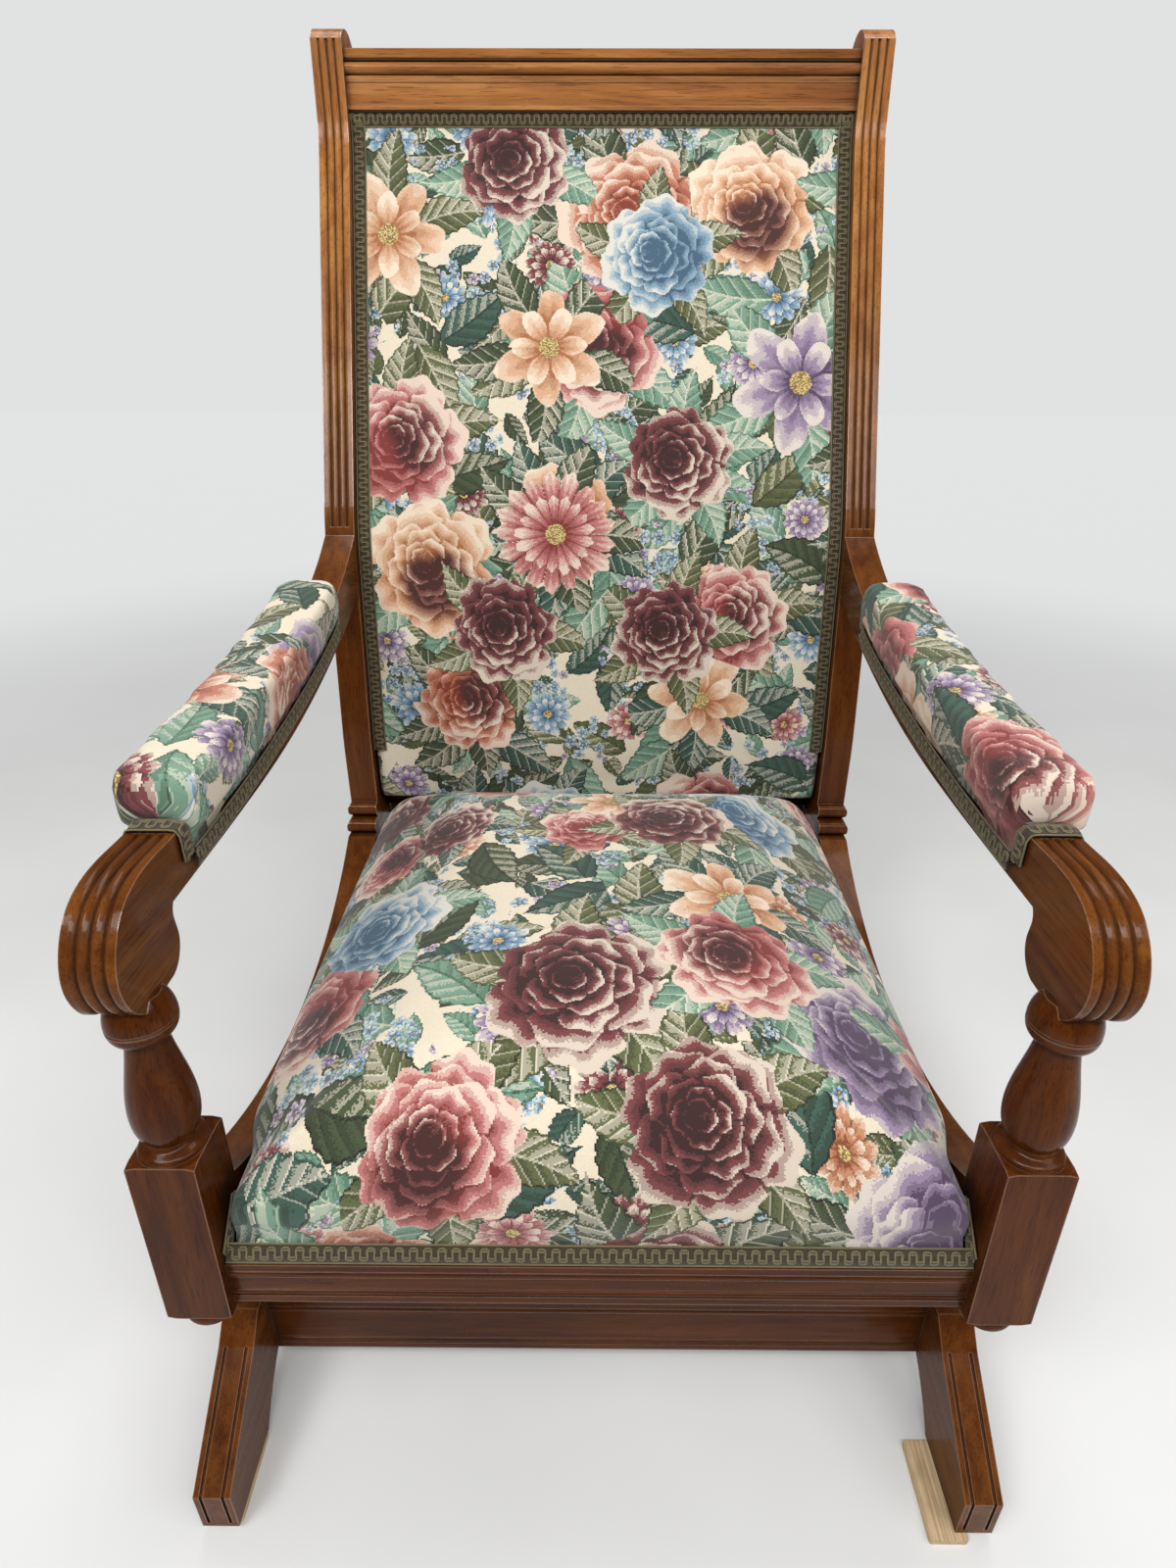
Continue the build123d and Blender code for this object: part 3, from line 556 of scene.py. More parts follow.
def rose_body(net, local, size, turn):
    """A full garden rose: rings of broad petals, the inner ones set a little off the middle."""
    inside = tone = None
    for index, (reach, count, light) in enumerate(ROSE_RINGS):
        off = RING_SHIFT * index
        radius, angle = polar(net, local if tone is None else net.after(local, tone), (off, -off * 0.6))
        spin = turn + index * 0.77
        covers, shade = use(net, petals, Radius=radius, Angle=angle, Count=float(count), Turn=spin,
                            Reach=size * reach, Fill=1.02, Light=light, Ruffle=0.035, Point=0.2,
                            Root=0.88, Slope=2.5)
        shade = shade + (angle + turn * 2.0).apply("SINE") * 0.2
        tone = shade if tone is None else net.blend(covers, tone, shade)
        inside = covers if inside is None else inside.apply("MAXIMUM", covers)
    return inside, tone


rose = shared("rose", {"Local": "Vector", "Size": "Float", "Turn": "Float"},
              {"Inside": "Float", "Tone": "Float"}, rose_body)


# %% [markdown]
# ### Daisies
#
# The other flowers show all their petals round a speckled heart.  Two rings of narrow petals are
# enough for them.  The number of petals and how pointed they are come in as values, so the same
# group also gives chrysanthemums, lilies and the small sprigs.

# %% Daisies
def daisy_body(net, local, size, turn, count, fill, point):
    """A daisy or chrysanthemum: two rings of narrow petals; the third output is its heart."""
    radius, angle = polar(net, local)
    alike = dict(Count=count, Fill=fill, Ruffle=0.02, Point=point, Root=0.66, Slope=1.1)
    inside, tone = use(net, petals, Radius=radius, Angle=angle, Turn=turn, Reach=size, Light=0.46,
                       **alike)
    radius, angle = polar(net, net.after(local, tone))
    over, shade = use(net, petals, Radius=radius, Angle=angle, Turn=turn + 0.4, Reach=size * 0.66,
                      Light=0.60, **alike)
    heart = radius < (size * 0.17)
    return inside.apply("MAXIMUM", over), net.blend(over, tone, shade), heart


daisy = shared("daisy", {"Local": "Vector", "Size": "Float", "Turn": "Float", "Count": "Float",
                         "Fill": "Float", "Point": "Float"},
               {"Inside": "Float", "Tone": "Float", "Heart": "Float"}, daisy_body)


# %% [markdown]
# ### Leaves
#
# Leaves fill the cloth between the flowers.  A drawn outline would be one way.  Here a leaf has its
# own axes, along and aside from its midrib, and its outline is half a sine wave with teeth.
# Slanting bands make the raised parts between its side veins, at any size and turn.

# %% Leaves
def leaf_body(net, local, size, turn, bend):
    """A toothed leaf with a pale midrib and side veins, half of it in shade."""
    x, y, _ = net.split(local)
    cosine, sine = turn.apply("COSINE"), turn.apply("SINE")
    along = (x * cosine + y * sine) / size + 0.5
    aside = (y * cosine - x * sine) / size - bend * along * (1.0 - along)
    away = aside.apply("ABSOLUTE")
    teeth = ((along * 9.0).apply("FRACT") - 0.5).apply("ABSOLUTE") * 0.05
    half = (along.clamped() ** 0.8 * math.pi).apply("SINE") * 0.25 + teeth - 0.02
    inside = (away < half) * (along > 0.0) * (along < 1.0)
    slanted = along - away * 1.1
    pillow = (slanted * 6.0).apply("FRACT")
    pale_veined = bend > 0.0
    tone = 0.42 + (aside > 0.0) * 0.20 + (along - 0.5) * 0.16 + (pillow - 0.5) * 0.22
    tone = tone + (pillow > 0.88) * (pale_veined * 0.42 - 0.26) - (away > (half - 0.022)) * 0.30
    return inside, net.blend(away < 0.012, tone, pale_veined * 0.58 + 0.2).clamped()


leaf = shared("leaf", {"Local": "Vector", "Size": "Float", "Turn": "Float", "Bend": "Float"},
              {"Inside": "Float", "Tone": "Float"}, leaf_body)

# %% [markdown]
# ### Yarn colours
#
# The cloth has green leaves, rose, wine, peach, blue and mauve flowers, and pale blue sprigs.  Their
# colours could be mixed at random, but a weaver picks from a few yarns.  So each kind of plant has a
# short list: a random number from 0 to 1 picks the last colour that starts below it.

# %% Yarn colours
GREENS = [(0.0, (0.030, 0.080, 0.056)), (0.26, (0.090, 0.105, 0.036)), (0.48, (0.150, 0.270, 0.190)),
          (0.78, (0.040, 0.062, 0.024))]
BLOOMS = [(0.0, (0.42, 0.140, 0.130)), (0.24, (0.145, 0.030, 0.034)), (0.46, (0.42, 0.150, 0.085)),
          (0.66, (0.58, 0.34, 0.200)), (0.78, (0.19, 0.30, 0.385)), (0.88, (0.26, 0.19, 0.29))]
WINE = (0.150, 0.032, 0.034, 1.0)
BLUE_FROM = BLOOMS[4][0]
SMALL_BLOOMS = [(0.0, (0.25, 0.18, 0.29)), (0.28, (0.17, 0.28, 0.38)), (0.50, (0.17, 0.035, 0.042)),
                (0.68, (0.46, 0.21, 0.11)), (0.84, (0.38, 0.14, 0.14))]
SPRIGS = [(0.0, (0.18, 0.29, 0.39)), (0.6, (0.27, 0.40, 0.47)), (0.85, (0.30, 0.25, 0.36))]
CREAM, CREAM_SHADE = (0.70, 0.62, 0.48, 1.0), (0.56, 0.48, 0.35, 1.0)
SEED_DARK, SEED_PALE = (0.20, 0.125, 0.045, 1.0), (0.60, 0.46, 0.17, 1.0)
print("yarns for plants", sum(len(yarns) for yarns in (GREENS, BLOOMS, SMALL_BLOOMS, SPRIGS)))

# %% [markdown]
# ### The whole design
#
# Each layer scatters one kind of plant over those before it: leaves, sprigs, small flowers, large
# leaves, then large flowers on a spray of leaves.  They could be placed by hand, but scattered ones
# cover a cloth of any size.  Before it is drawn, a place is snapped to the nearest stitch, so that
# the edges of the flowers step as woven ones do.

# %% The whole design
def tapestry_body(net, place):
    """The whole woven design: colour, and how far a stitch stands out."""
    stitch_size = (STITCH_WIDTH, STITCH_HEIGHT, 1.0)
    snapped = net.wire(net.add("VectorMath", {0: place, 1: stitch_size}, operation="SNAP"))
    speck = net.wire(net.add("TexWhiteNoise", {"Vector": snapped}, noise_dimensions="3D")) - 0.5
    colour = net.mix((speck + 0.5) * 0.35, CREAM, CREAM_SHADE)
    seeds = net.mix(speck > 0.05, SEED_DARK, SEED_PALE)

    def scattered(colour, spacing, shift):
        """Place from a centre, free radius and three random numbers, drawn after what lies below."""
        stitch = net.after(snapped, colour)
        local, random, free = use(net, cells, Place=stitch, Spacing=spacing * MM, Shift=(*shift, 0.0))
        return (local, free, *net.split(random))

    def leaves(colour, spacing, length, shift, present):
        """Single leaves, as many of the centres as present says."""
        local, free, first, second, third = scattered(colour, spacing, shift)
        inside, tone = use(net, leaf, Local=local, Size=length * MM, Turn=first * TURN,
                           Bend=(second - 0.5) * 0.9)
        family = net.ramp(third, GREENS, "CONSTANT")
        (drawn,) = use(net, threads, Tone=tone, Base=family, Fleck=speck)
        return net.mix(inside * (second < present), colour, drawn)

    def small_flowers(colour, spacing, radius, shift, present, count, fill, family, clustered=0.0):
        """Small daisies or sprigs, in drifts where clustered is given."""
        local, free, first, second, third = scattered(colour, spacing, shift)
        size = ((first * 0.25 + 0.8) * radius * MM).apply("MINIMUM", free * 1.2)
        inside, tone, heart = use(net, daisy, Local=local, Size=size, Turn=second * TURN,
                                  Count=float(count), Fill=fill, Point=0.3)
        (drawn,) = use(net, threads, Tone=tone, Base=net.ramp(third, family, "CONSTANT"), Fleck=speck)
        drawn = net.mix(heart, drawn, seeds)
        shown = inside * (second < present)
        if clustered:
            shown = shown * (net.noise(snapped, 14.0, 1.0) > clustered)
        return net.mix(shown, colour, drawn)

    def large_flowers(colour, spacing, radius, shift, present):
        """A rose or a rayed flower over five leaves; the darkest roses have a wine side."""
        local, free, first, second, third = scattered(colour, spacing, shift)
        size = ((first * 0.22 + 0.84) * radius * MM).apply("MINIMUM", free * 1.25)
        turn = second * TURN
        shown = third < present
        far, angle = polar(net, local)
        sector = ((angle + turn) * 5.0 / TURN).apply("FRACT") - 0.5
        aside = (sector * (TURN / 5.0)).apply("SINE") * far
        ahead = (sector * (TURN / 5.0)).apply("COSINE") * far - size * 1.02
        inside, tone = use(net, leaf, Local=net.join(ahead, aside), Size=size * 1.25, Turn=0.0, Bend=0.3)
        (drawn,) = use(net, threads, Tone=tone, Base=net.ramp(first, GREENS, "CONSTANT"), Fleck=speck)
        colour = net.mix(inside * shown, colour, drawn)
        round_one, rose_tone = use(net, rose, Local=net.after(local, colour), Size=size, Turn=turn)
        kind = (third * 7.0).apply("FRACT")
        pointed = kind > 0.86
        ray_place = net.after(local, rose_tone)
        ray_one, ray_tone, heart = use(net, daisy, Local=ray_place, Size=size * 0.95, Turn=turn,
                                       Count=net.blend(pointed, 17.0, 6.0),
                                       Fill=net.blend(pointed, 0.97, 0.9),
                                       Point=net.blend(pointed, 0.22, 0.62))
        rayed = kind > 0.72
        inside = net.blend(rayed, round_one, ray_one)
        tone = net.blend(rayed, rose_tone, ray_tone)
        bloom = (third * 5.3).apply("FRACT")
        family = net.ramp(bloom, BLOOMS, "CONSTANT")
        wine_side = (0.58 - far / size) * 3.5 + (angle + turn * 3.0).apply("SINE") * 1.2
        family = net.mix(wine_side.clamped() * (kind < 0.42) * (bloom < BLUE_FROM) * 0.85, family, WINE)
        (drawn,) = use(net, threads, Tone=tone, Base=family, Fleck=speck)
        drawn = net.mix(heart * rayed, drawn, seeds)
        return net.mix(inside * shown, colour, drawn)

    colour = leaves(colour, 36, 42, (3.1, 7.7), 0.92)
    colour = leaves(colour, 62, 76, (11.3, 2.9), 1.0)
    colour = small_flowers(colour, 17, 9.5, (5.5, 1.2), 0.85, 5, 0.8, SPRIGS, 0.52)
    colour = small_flowers(colour, 78, 30, (8.2, 4.4), 0.7, 11, 0.95, SMALL_BLOOMS)
    colour = leaves(colour, 84, 94, (1.7, 9.1), 0.9)
    colour = large_flowers(colour, 190, 76, (2.4, 6.6), 0.95)
    colour = large_flowers(colour, 190, 66, (7.9, 3.15), 0.75)
    rib = (net.split(place)[1] * (TURN / STITCH_HEIGHT)).apply("SINE")
    return net.mix(0.05, colour, (0.30, 0.26, 0.22, 1.0)), rib * 0.3 + speck


tapestry_design = shared("tapestry design", {"Place": "Vector"}, {"Colour": "Color", "Height": "Float"},
                         tapestry_body)


def tapestry_material_body(net):
    """The design at each point's place on the flat cloth."""
    place = net.wire(net.add("Attribute", attribute_name="cloth"), "Vector")
    colour, height = use(net, tapestry_design, Place=place)
    bump = net.add("Bump", {"Strength": 0.35, "Distance": 0.35 * MM, "Height": height})
    return {"Base_Color": colour, "Roughness": height * 0.05 + 0.82, "Normal": net.wire(bump)}


tapestry = material("tapestry", tapestry_material_body, Specular_IOR_Level=0.25, Sheen_Weight=0.18,
                    Sheen_Roughness=0.5)

# %% [markdown]
# ## Plain cloths and braid
#
# The linings, webbing and hessian are plain weaves: threads over and under each other, fine or
# coarse.  They could be modelled thread by thread, but nobody sees them from so near, so two sine
# waves at the real pitch give the colour and the bump.  The braid has a dark tape and paler cords.

# %% Plain cloths and braid
def weave_body(net, place, pitch, first, second):
    """Threads over and under each other at an even pitch, with slubs: colour and height."""
    x, y, z = net.split(place)
    warp = (x * (TURN * 0.5) / pitch).apply("SINE").apply("ABSOLUTE")
    weft = ((y + z) * (TURN * 0.5) / pitch).apply("SINE").apply("ABSOLUTE")
    slub = net.noise(place, 160.0, 3.0)
    height = warp * weft
    return net.mix((height * 0.7 + slub * 0.5).clamped(), first, second), height + slub * 0.4


weave = shared("plain weave", {"Place": "Vector", "Pitch": "Float", "Dark": "Color", "Light": "Color"},
               {"Colour": "Color", "Height": "Float"}, weave_body)


def plain_cloth(name, pitch, dark, light):
    """One plain woven cloth; pitch is the distance between its threads in millimetres."""
    def body(net):
        place = net.wire(net.add("TexCoord"), "Object")
        colour, height = use(net, weave, Place=place, Pitch=pitch * MM, Dark=(*dark, 1.0),
                             Light=(*light, 1.0))
        bump = net.add("Bump", {"Strength": 0.5, "Distance": 0.4 * MM, "Height": height})
        return {"Base_Color": colour, "Roughness": height * 0.08 + 0.8, "Normal": net.wire(bump)}
    return material(name, body, Specular_IOR_Level=0.2, Sheen_Weight=0.2, Sheen_Roughness=0.5)


hessian = plain_cloth("hessian", 1.6, (0.16, 0.11, 0.05), (0.48, 0.37, 0.22))
webbing = plain_cloth("jute webbing", 1.4, (0.22, 0.16, 0.08), (0.60, 0.49, 0.32))
lining = plain_cloth("black lining", 0.8, (0.008, 0.008, 0.008), (0.035, 0.034, 0.033))
back_cloth = plain_cloth("olive back cloth", 0.9, (0.065, 0.062, 0.034), (0.17, 0.16, 0.10))
tape = plain_cloth("braid tape", 0.9, (0.018, 0.013, 0.007), (0.070, 0.052, 0.027))
cord_wool = plain_cloth("braid cord", 1.1, (0.075, 0.060, 0.028), (0.24, 0.20, 0.105))

# %% [markdown]
# ## Materials for the CAD pieces
#
# The rigid pieces keep their CAD shapes.  They could be rebuilt here with rounded edges, but the
# Bevel node in the finish does that without touching a mesh.  So each one's material slots simply
# get the finish whose grain runs along that piece.

# %% Finishes on the CAD pieces
def finish_nodes(finish, *names):
    """Puts a material on CAD nodes; a name without a side stands for both sides."""
    found = [node for name in names for node in (name, name + "_left", name + "_right")
             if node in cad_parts]
    for node in found:
        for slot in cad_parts[node].material_slots:
            slot.material = finish
    print(finish.name, "on", len(found), "pieces")


finish_nodes(golden_upright, "back_stile")
finish_nodes(golden_across, "crest_rail", "top_back_rail")
finish_nodes(brown_along, "arm", "rocker_rail", "base_rail", "base_foot_front", "base_foot_rear",
             "seat_side_rail")
finish_nodes(red_upright, "front_post")
finish_nodes(red_across, "front_seat_rail", "rear_seat_rail", "bottom_back_rail", "base_stretcher_front",
             "base_stretcher_rear")
finish_nodes(pale_wood, "glide_front", "glide_rear", "corner_blocks")
finish_nodes(iron, "spring_bracket_lower", "spring_bracket_upper")
finish_nodes(steel, "bracket_screws_lower", "bracket_screws_upper")
finish_nodes(spring_steel, "seat_springs")
finish_nodes(hessian, "spring_cover")
finish_nodes(webbing, "seat_webbing", "back_webbing")

# %% [markdown]
# ## Helpers for meshes
#
# The soft pieces can be shaped with the mouse, but then nobody can change a size later.  Here they
# are worked out with arrays of points.  These helpers make a mesh, read its points and normals, and
# build the search tree with which rays find its surface.

# %% Mesh helpers
def new_mesh(name, points, faces, *materials):
    """A smooth mesh object in the scene, with its materials in order."""
    mesh = bpy.data.meshes.new(name)
    mesh.from_pydata([tuple(point) for point in points], [], faces)
    mesh.update()
    piece = bpy.data.objects.new(name, mesh)
    bpy.context.scene.collection.objects.link(piece)
    for finish in materials:
        mesh.materials.append(finish)
    mesh.shade_smooth()
    print("mesh", name, "with", len(mesh.vertices), "points")
    return piece


def points_of(mesh):
    """All points of a mesh as rows of an array."""
    points = np.empty(len(mesh.vertices) * 3, np.float32)
    mesh.vertices.foreach_get("co", points)
    return points.reshape(-1, 3).astype(float)


def normals_of(mesh):
    """All point normals of a mesh as rows of an array."""
    normals = np.empty(len(mesh.vertices) * 3, np.float32)
    mesh.vertex_normals.foreach_get("vector", normals)
    return normals.reshape(-1, 3).astype(float)


def tree_of(piece):
    """A search tree of a piece's faces, for casting rays at it."""
    mesh = piece.data
    return BVHTree.FromPolygons([v.co for v in mesh.vertices], [p.vertices for p in mesh.polygons])


FAR = 2.0       # outside the chair on every side, where rays start
print("mesh helpers are ready")

# %% [markdown]
# ### Round cords and cloth coordinates
#
# The cords of the braid and the coils of the springs are round and follow a line.  A curve with a
# bevel would also make them, but here hundreds of loops have to share one mesh.  So a ring of
# points is carried along the line and turned as little as can be.  The second helper stores each
# point's place on the flat cloth, which the tapestry is drawn with.

# %% Cords and cloth coordinates
def tubes(paths, radius, sides=6):
    """Points and faces of round cords that follow lists of points."""
    points, faces = [], []
    for path in paths:
        path = [Vector(point) for point in path]
        first = len(points)
        side = None
        for index, point in enumerate(path):
            ahead = path[min(index + 1, len(path) - 1)] - path[max(index - 1, 0)]
            ahead.normalize()
            if side is None:
                side = ahead.orthogonal()
            side = (side - ahead * side.dot(ahead)).normalized()
            third = ahead.cross(side)
            for corner in range(sides):
                turn = TURN * corner / sides
                points.append(point + radius * (math.cos(turn) * side + math.sin(turn) * third))
        for ring in range(len(path) - 1):
            for corner in range(sides):
                a, b = first + ring * sides + corner, first + ring * sides + (corner + 1) % sides
                faces.append((a, b, b + sides, a + sides))
        faces.append(tuple(reversed(range(first, first + sides))))
        last = first + (len(path) - 1) * sides
        faces.append(tuple(range(last, last + sides)))
    return points, faces


def set_cloth(piece, across, along):
    """Stores the flat cloth coordinates that the tapestry is drawn with."""
    attribute = piece.data.attributes.new("cloth", "FLOAT_VECTOR", "POINT")
    values = np.stack([across, along, np.zeros(len(across))], axis=1)
    attribute.data.foreach_set("vector", values.astype(np.float32).ravel())
    print(piece.name, "cloth", np.round(np.ptp(values[:, :2], axis=0), 3), "m")


# %% [markdown]
# ## Stuffed pieces
#
# Seat, back and pads are stuffing under a cover that is tacked down round its edges.  They could be
# modelled anew, but each starts as a copy of its CAD solid, so it fits the frame.  It is remeshed to
# even cells and its corners are relaxed, as no stuffed edge is sharp.

# %% From solid to even cells
def applied(piece):
    """Replaces a piece's mesh by what its modifiers make of it."""
    graph = bpy.context.evaluated_depsgraph_get()
    made = bpy.data.meshes.new_from_object(piece.evaluated_get(graph))
    piece.modifiers.clear()
    old = piece.data
    piece.data = made
    bpy.data.meshes.remove(old)
    return piece


def remeshed(node, name, cell, relax):
    """A copy of a CAD solid in even cells, smoothed as often as relax says."""
    piece = bpy.data.objects.new(name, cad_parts[node].data.copy())
    bpy.context.scene.collection.objects.link(piece)
    piece.data.materials.clear()
    remesh = piece.modifiers.new("remesh", "REMESH")
    remesh.mode = "VOXEL"
    remesh.voxel_size = cell
    smooth = piece.modifiers.new("relax", "SMOOTH")
    smooth.factor, smooth.iterations = 0.5, relax
    return applied(piece)


def hidden_side(piece):
    """True where the surface looks at another part of the same piece, as in a cushion's hollow."""
    tree = tree_of(piece)
    points, normals = points_of(piece.data), normals_of(piece.data)
    return np.array([tree.ray_cast(Vector(p + n * 0.002), Vector(n))[0] is not None
                     for p, n in zip(points, normals)])


# %% [markdown]
# ### Swelling
#
# A cushion can be sculpted, but a short cloth simulation finds the crown of real stuffing by itself.
# Pressure blows the piece up against its held edges for a few frames.  The movement is capped
# softly, so that the piece stays beside its neighbours.  After that it gets finer faces and its cover.

# %% Swelling
PRESSURE, SWELL_FRAMES = 3.0, 20


def swell(piece, held, cap):
    """Blows the piece up for a few frames with its held points fixed, and caps how far it moves."""
    rest = points_of(piece.data)
    group = piece.vertex_groups.new(name="held")
    group.add([int(index) for index in np.flatnonzero(held)], 1.0, "REPLACE")
    cloth = piece.modifiers.new("cloth", "CLOTH")
    cloth.settings.vertex_group_mass = "held"
    cloth.settings.use_pressure = True
    cloth.settings.uniform_pressure_force = PRESSURE
    cloth.settings.effector_weights.gravity = 0.0
    cloth.settings.quality = 5
    cloth.settings.tension_stiffness = cloth.settings.compression_stiffness = 25.0
    cloth.settings.bending_stiffness = 1.0
    scene = bpy.context.scene
    for number in range(1, SWELL_FRAMES + 1):
        scene.frame_set(number)
    applied(piece)
    moved = points_of(piece.data) - rest
    far = np.linalg.norm(moved, axis=1, keepdims=True)
    soft = cap * np.tanh(far / cap)
    kept = rest + moved * (soft / np.maximum(far, 1e-9))
    piece.data.vertices.foreach_set("co", kept.astype(np.float32).ravel())
    piece.vertex_groups.clear()
    piece.data.update()
    scene.frame_set(1)
    print(piece.name, "swelled by", round(float(soft.max()) / MM, 1), "mm at most")


def subdivided(piece):
    """Halves the size of the faces."""
    modifier = piece.modifiers.new("finer", "SUBSURF")
    modifier.levels = modifier.render_levels = 1
    applied(piece)


def dress(piece, node):
    """Finishes a stuffed piece: tapestry, body and the node it stands for."""
    piece.data.materials.append(tapestry)
    piece.data.shade_smooth()
    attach(piece, "chair")
    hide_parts(node)


# %% [markdown]
# ### The seat
#
# The seat is a dome, tacked along the rails and drawn in round the front posts.  It could be one
# formula, but the simulation gives it the uneven fullness of stuffing.  What may not move is held:
# the lowest edge, the sides beside the posts, and the hollow underneath, where the springs are.

# %% The seat
CELL, RELAX_TIMES = 6 * MM, 6
TACKED_EDGE, POST_EDGE, SEAT_CAP = 12 * MM, 6 * MM, 6 * MM
seat = remeshed("seat_cushion", "seat", CELL, RELAX_TIMES)
seat_low, seat_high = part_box("seat_cushion")
seat_points = points_of(seat.data)
low_edge = seat_points[:, 2] < seat_low.z + TACKED_EDGE
beside_posts = np.abs(seat_points[:, 0]) > seat_high.x - POST_EDGE
swell(seat, hidden_side(seat) | low_edge | beside_posts, SEAT_CAP)
subdivided(seat)
print("seat", len(seat.data.vertices), "points")

# %% [markdown]
# ### The seat's sides and front edge
#
# Behind the front posts the seat fills the room between the side rails, and its front edge leans
# back behind the braid.  A lattice could bend it, but its handles would have to be set by eye.  So
# the points are moved by a formula that fades out smoothly where the rest of the seat begins.

# %% The seat's sides and front edge
BRAID_WIDTH, BRAID_LEAN = 15 * MM, math.radians(24)
WIDER_BY, WIDENED_FROM = 10.5 * MM, 150 * MM
TUCK_FADE, TUCK_SHARE = 34 * MM, 0.7
FADE_START, FADE_END = 4 * MM, 50 * MM


def eased(values, start, end):
    """0 before start, 1 after end, and smooth between them."""
    share = np.clip((values - start) / (end - start), 0, 1)
    return share * share * (3 - 2 * share)


def fit_seat(piece, low, high):
    """Fills the room between the rails behind the front posts, and leans the front edge back."""
    points = points_of(piece.data)
    post_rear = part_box("front_post_right")[1].y
    behind = eased(points[:, 1], post_rear + FADE_START, post_rear + FADE_END)
    near_side = eased(np.abs(points[:, 0]), WIDENED_FROM, high.x - 2 * MM)
    points[:, 0] += np.sign(points[:, 0]) * WIDER_BY * behind * near_side
    over_edge = points[:, 2] - low.z
    lean = math.tan(BRAID_LEAN) * np.clip(over_edge, 0, BRAID_WIDTH)
    lean *= 1 - TUCK_SHARE * eased(over_edge, BRAID_WIDTH, BRAID_WIDTH + TUCK_FADE)
    points[:, 1] += lean * (1 - eased(points[:, 1], low.y + FADE_START, low.y + FADE_END))
    piece.data.vertices.foreach_set("co", points.astype(np.float32).ravel())
    piece.data.update()
    print("seat half width", round(float(points[:, 0].max()), 4))


fit_seat(seat, seat_low, seat_high)


# %% [markdown]
# ### The seat's cover
#
# The seat's cloth runs over the front in one piece.  A projection from above would stretch the
# pattern there, so its length is measured along the middle of the dome, as a tape would.

# %% The seat's cover
FRONT_REACH, FRONT_FALL = 90 * MM, 30 * MM
SIDE_FALL, SIDE_EDGE, SIDE_BLEND, MOST_LIFT = 200 * MM, 12 * MM, 8 * MM, 45 * MM


def outline_along(piece, axis, start, end, count=160):
    """Heights and running lengths of a piece's top along x or y through its middle."""
    tree = tree_of(piece)
    places, heights = [], []
    for place in np.linspace(start, end, count):
        above = Vector((0.0, place, FAR)) if axis == "y" else Vector((place, 0.0, FAR))
        hit = tree.ray_cast(above, Vector((0, 0, -1)))[0]
        if hit is not None:
            places.append(place)
            heights.append(hit.z)
    places, heights = np.array(places), np.array(heights)
    steps = np.hypot(np.diff(places), np.diff(heights))
    return places, heights, np.concatenate([[0], np.cumsum(steps)])


def unroll_seat(piece):
    """Gives each point the place on the flat cloth that would be tacked over it."""
    points = points_of(piece.data)
    low, high = points.min(0), points.max(0)
    ys, zs, lengths = outline_along(piece, "y", low[1] + 2 * MM, high[1] - 2 * MM)
    xs, tops, over = outline_along(piece, "x", low[0] + 2 * MM, high[0] - 2 * MM)
    lift = np.clip(np.interp(0.0, xs, tops) - np.interp(points[:, 0], xs, tops), 0, MOST_LIFT)
    frontness = np.clip(1.0 - (points[:, 1] - low[1]) / FRONT_REACH, 0, 1)
    fallen = points[:, 2] + lift - np.interp(points[:, 1], ys, zs)
    along = np.interp(points[:, 1], ys, lengths) + np.minimum(fallen, FRONT_FALL) * frontness
    side_drop = np.clip(np.interp(points[:, 0], xs, tops) - points[:, 2], 0, SIDE_FALL)
    sideways = np.interp(points[:, 0], xs, over - np.interp(0.0, xs, over))
    edge = np.clip((np.abs(points[:, 0]) - (high[0] - SIDE_EDGE)) / SIDE_BLEND, 0, 1)
    set_cloth(piece, sideways + np.sign(points[:, 0]) * side_drop * edge, along)


unroll_seat(seat)
dress(seat, "seat_cushion")

# %% [markdown]
# ### The back
#
# The back is a long panel that follows the curve of the stiles, fuller in the middle and tacked under
# the braid.  It could be a bent plane with thickness, but it is made as the seat is, from its CAD
# solid.  Only its front may swell, so the sides and rear are held.  The cloth's length is measured
# up the curved front, and the piece is cut from a part of the cloth that the seat doesn't use.

# %% The back
BACK_CAP, SIDE_HELD, TOP_HELD, FOOT_HELD = 8 * MM, 0.018, 22 * MM, 30 * MM
SEAT_LINE, BACK_CUT_FROM = 90 * MM, 0.9
back = remeshed("back_cushion", "back", CELL, RELAX_TIMES)
points = points_of(back.data)
cad_back = tree_of(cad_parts["back_cushion"])
back_low, back_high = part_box("back_cushion")


def back_face(z):
    """Where the CAD panel's front lies at a height, near its edge, where it isn't domed."""
    z = min(max(z, back_low.z + 2 * MM), back_high.z - 2 * MM)
    return cad_back.ray_cast(Vector((back_high.x - 4 * MM, -1.0, z)), Vector((0, 1, 0)))[0].y


facing = normals_of(back.data)[:, 1] < -0.3
near_side = np.abs(points[:, 0]) > back_high.x - SIDE_HELD
near_end = (points[:, 2] > back_high.z - TOP_HELD) | (points[:, 2] < back_low.z + FOOT_HELD)
swell(back, ~facing | near_side | near_end, BACK_CAP)
subdivided(back)
points = points_of(back.data)
levels = np.linspace(back_low.z + SEAT_LINE, back_high.z - 4 * MM, 120)
fronts = np.array([back_face(z) for z in levels])
running = np.concatenate([[0], np.cumsum(np.hypot(np.diff(levels), np.diff(fronts)))])
below = np.minimum(points[:, 2] - levels[0], 0.0)
set_cloth(back, points[:, 0], np.interp(points[:, 2], levels, running) + below + BACK_CUT_FROM)
dress(back, "back_cushion")
print("back", len(back.data.vertices), "points, cloth", round(running[-1], 3), "m long")

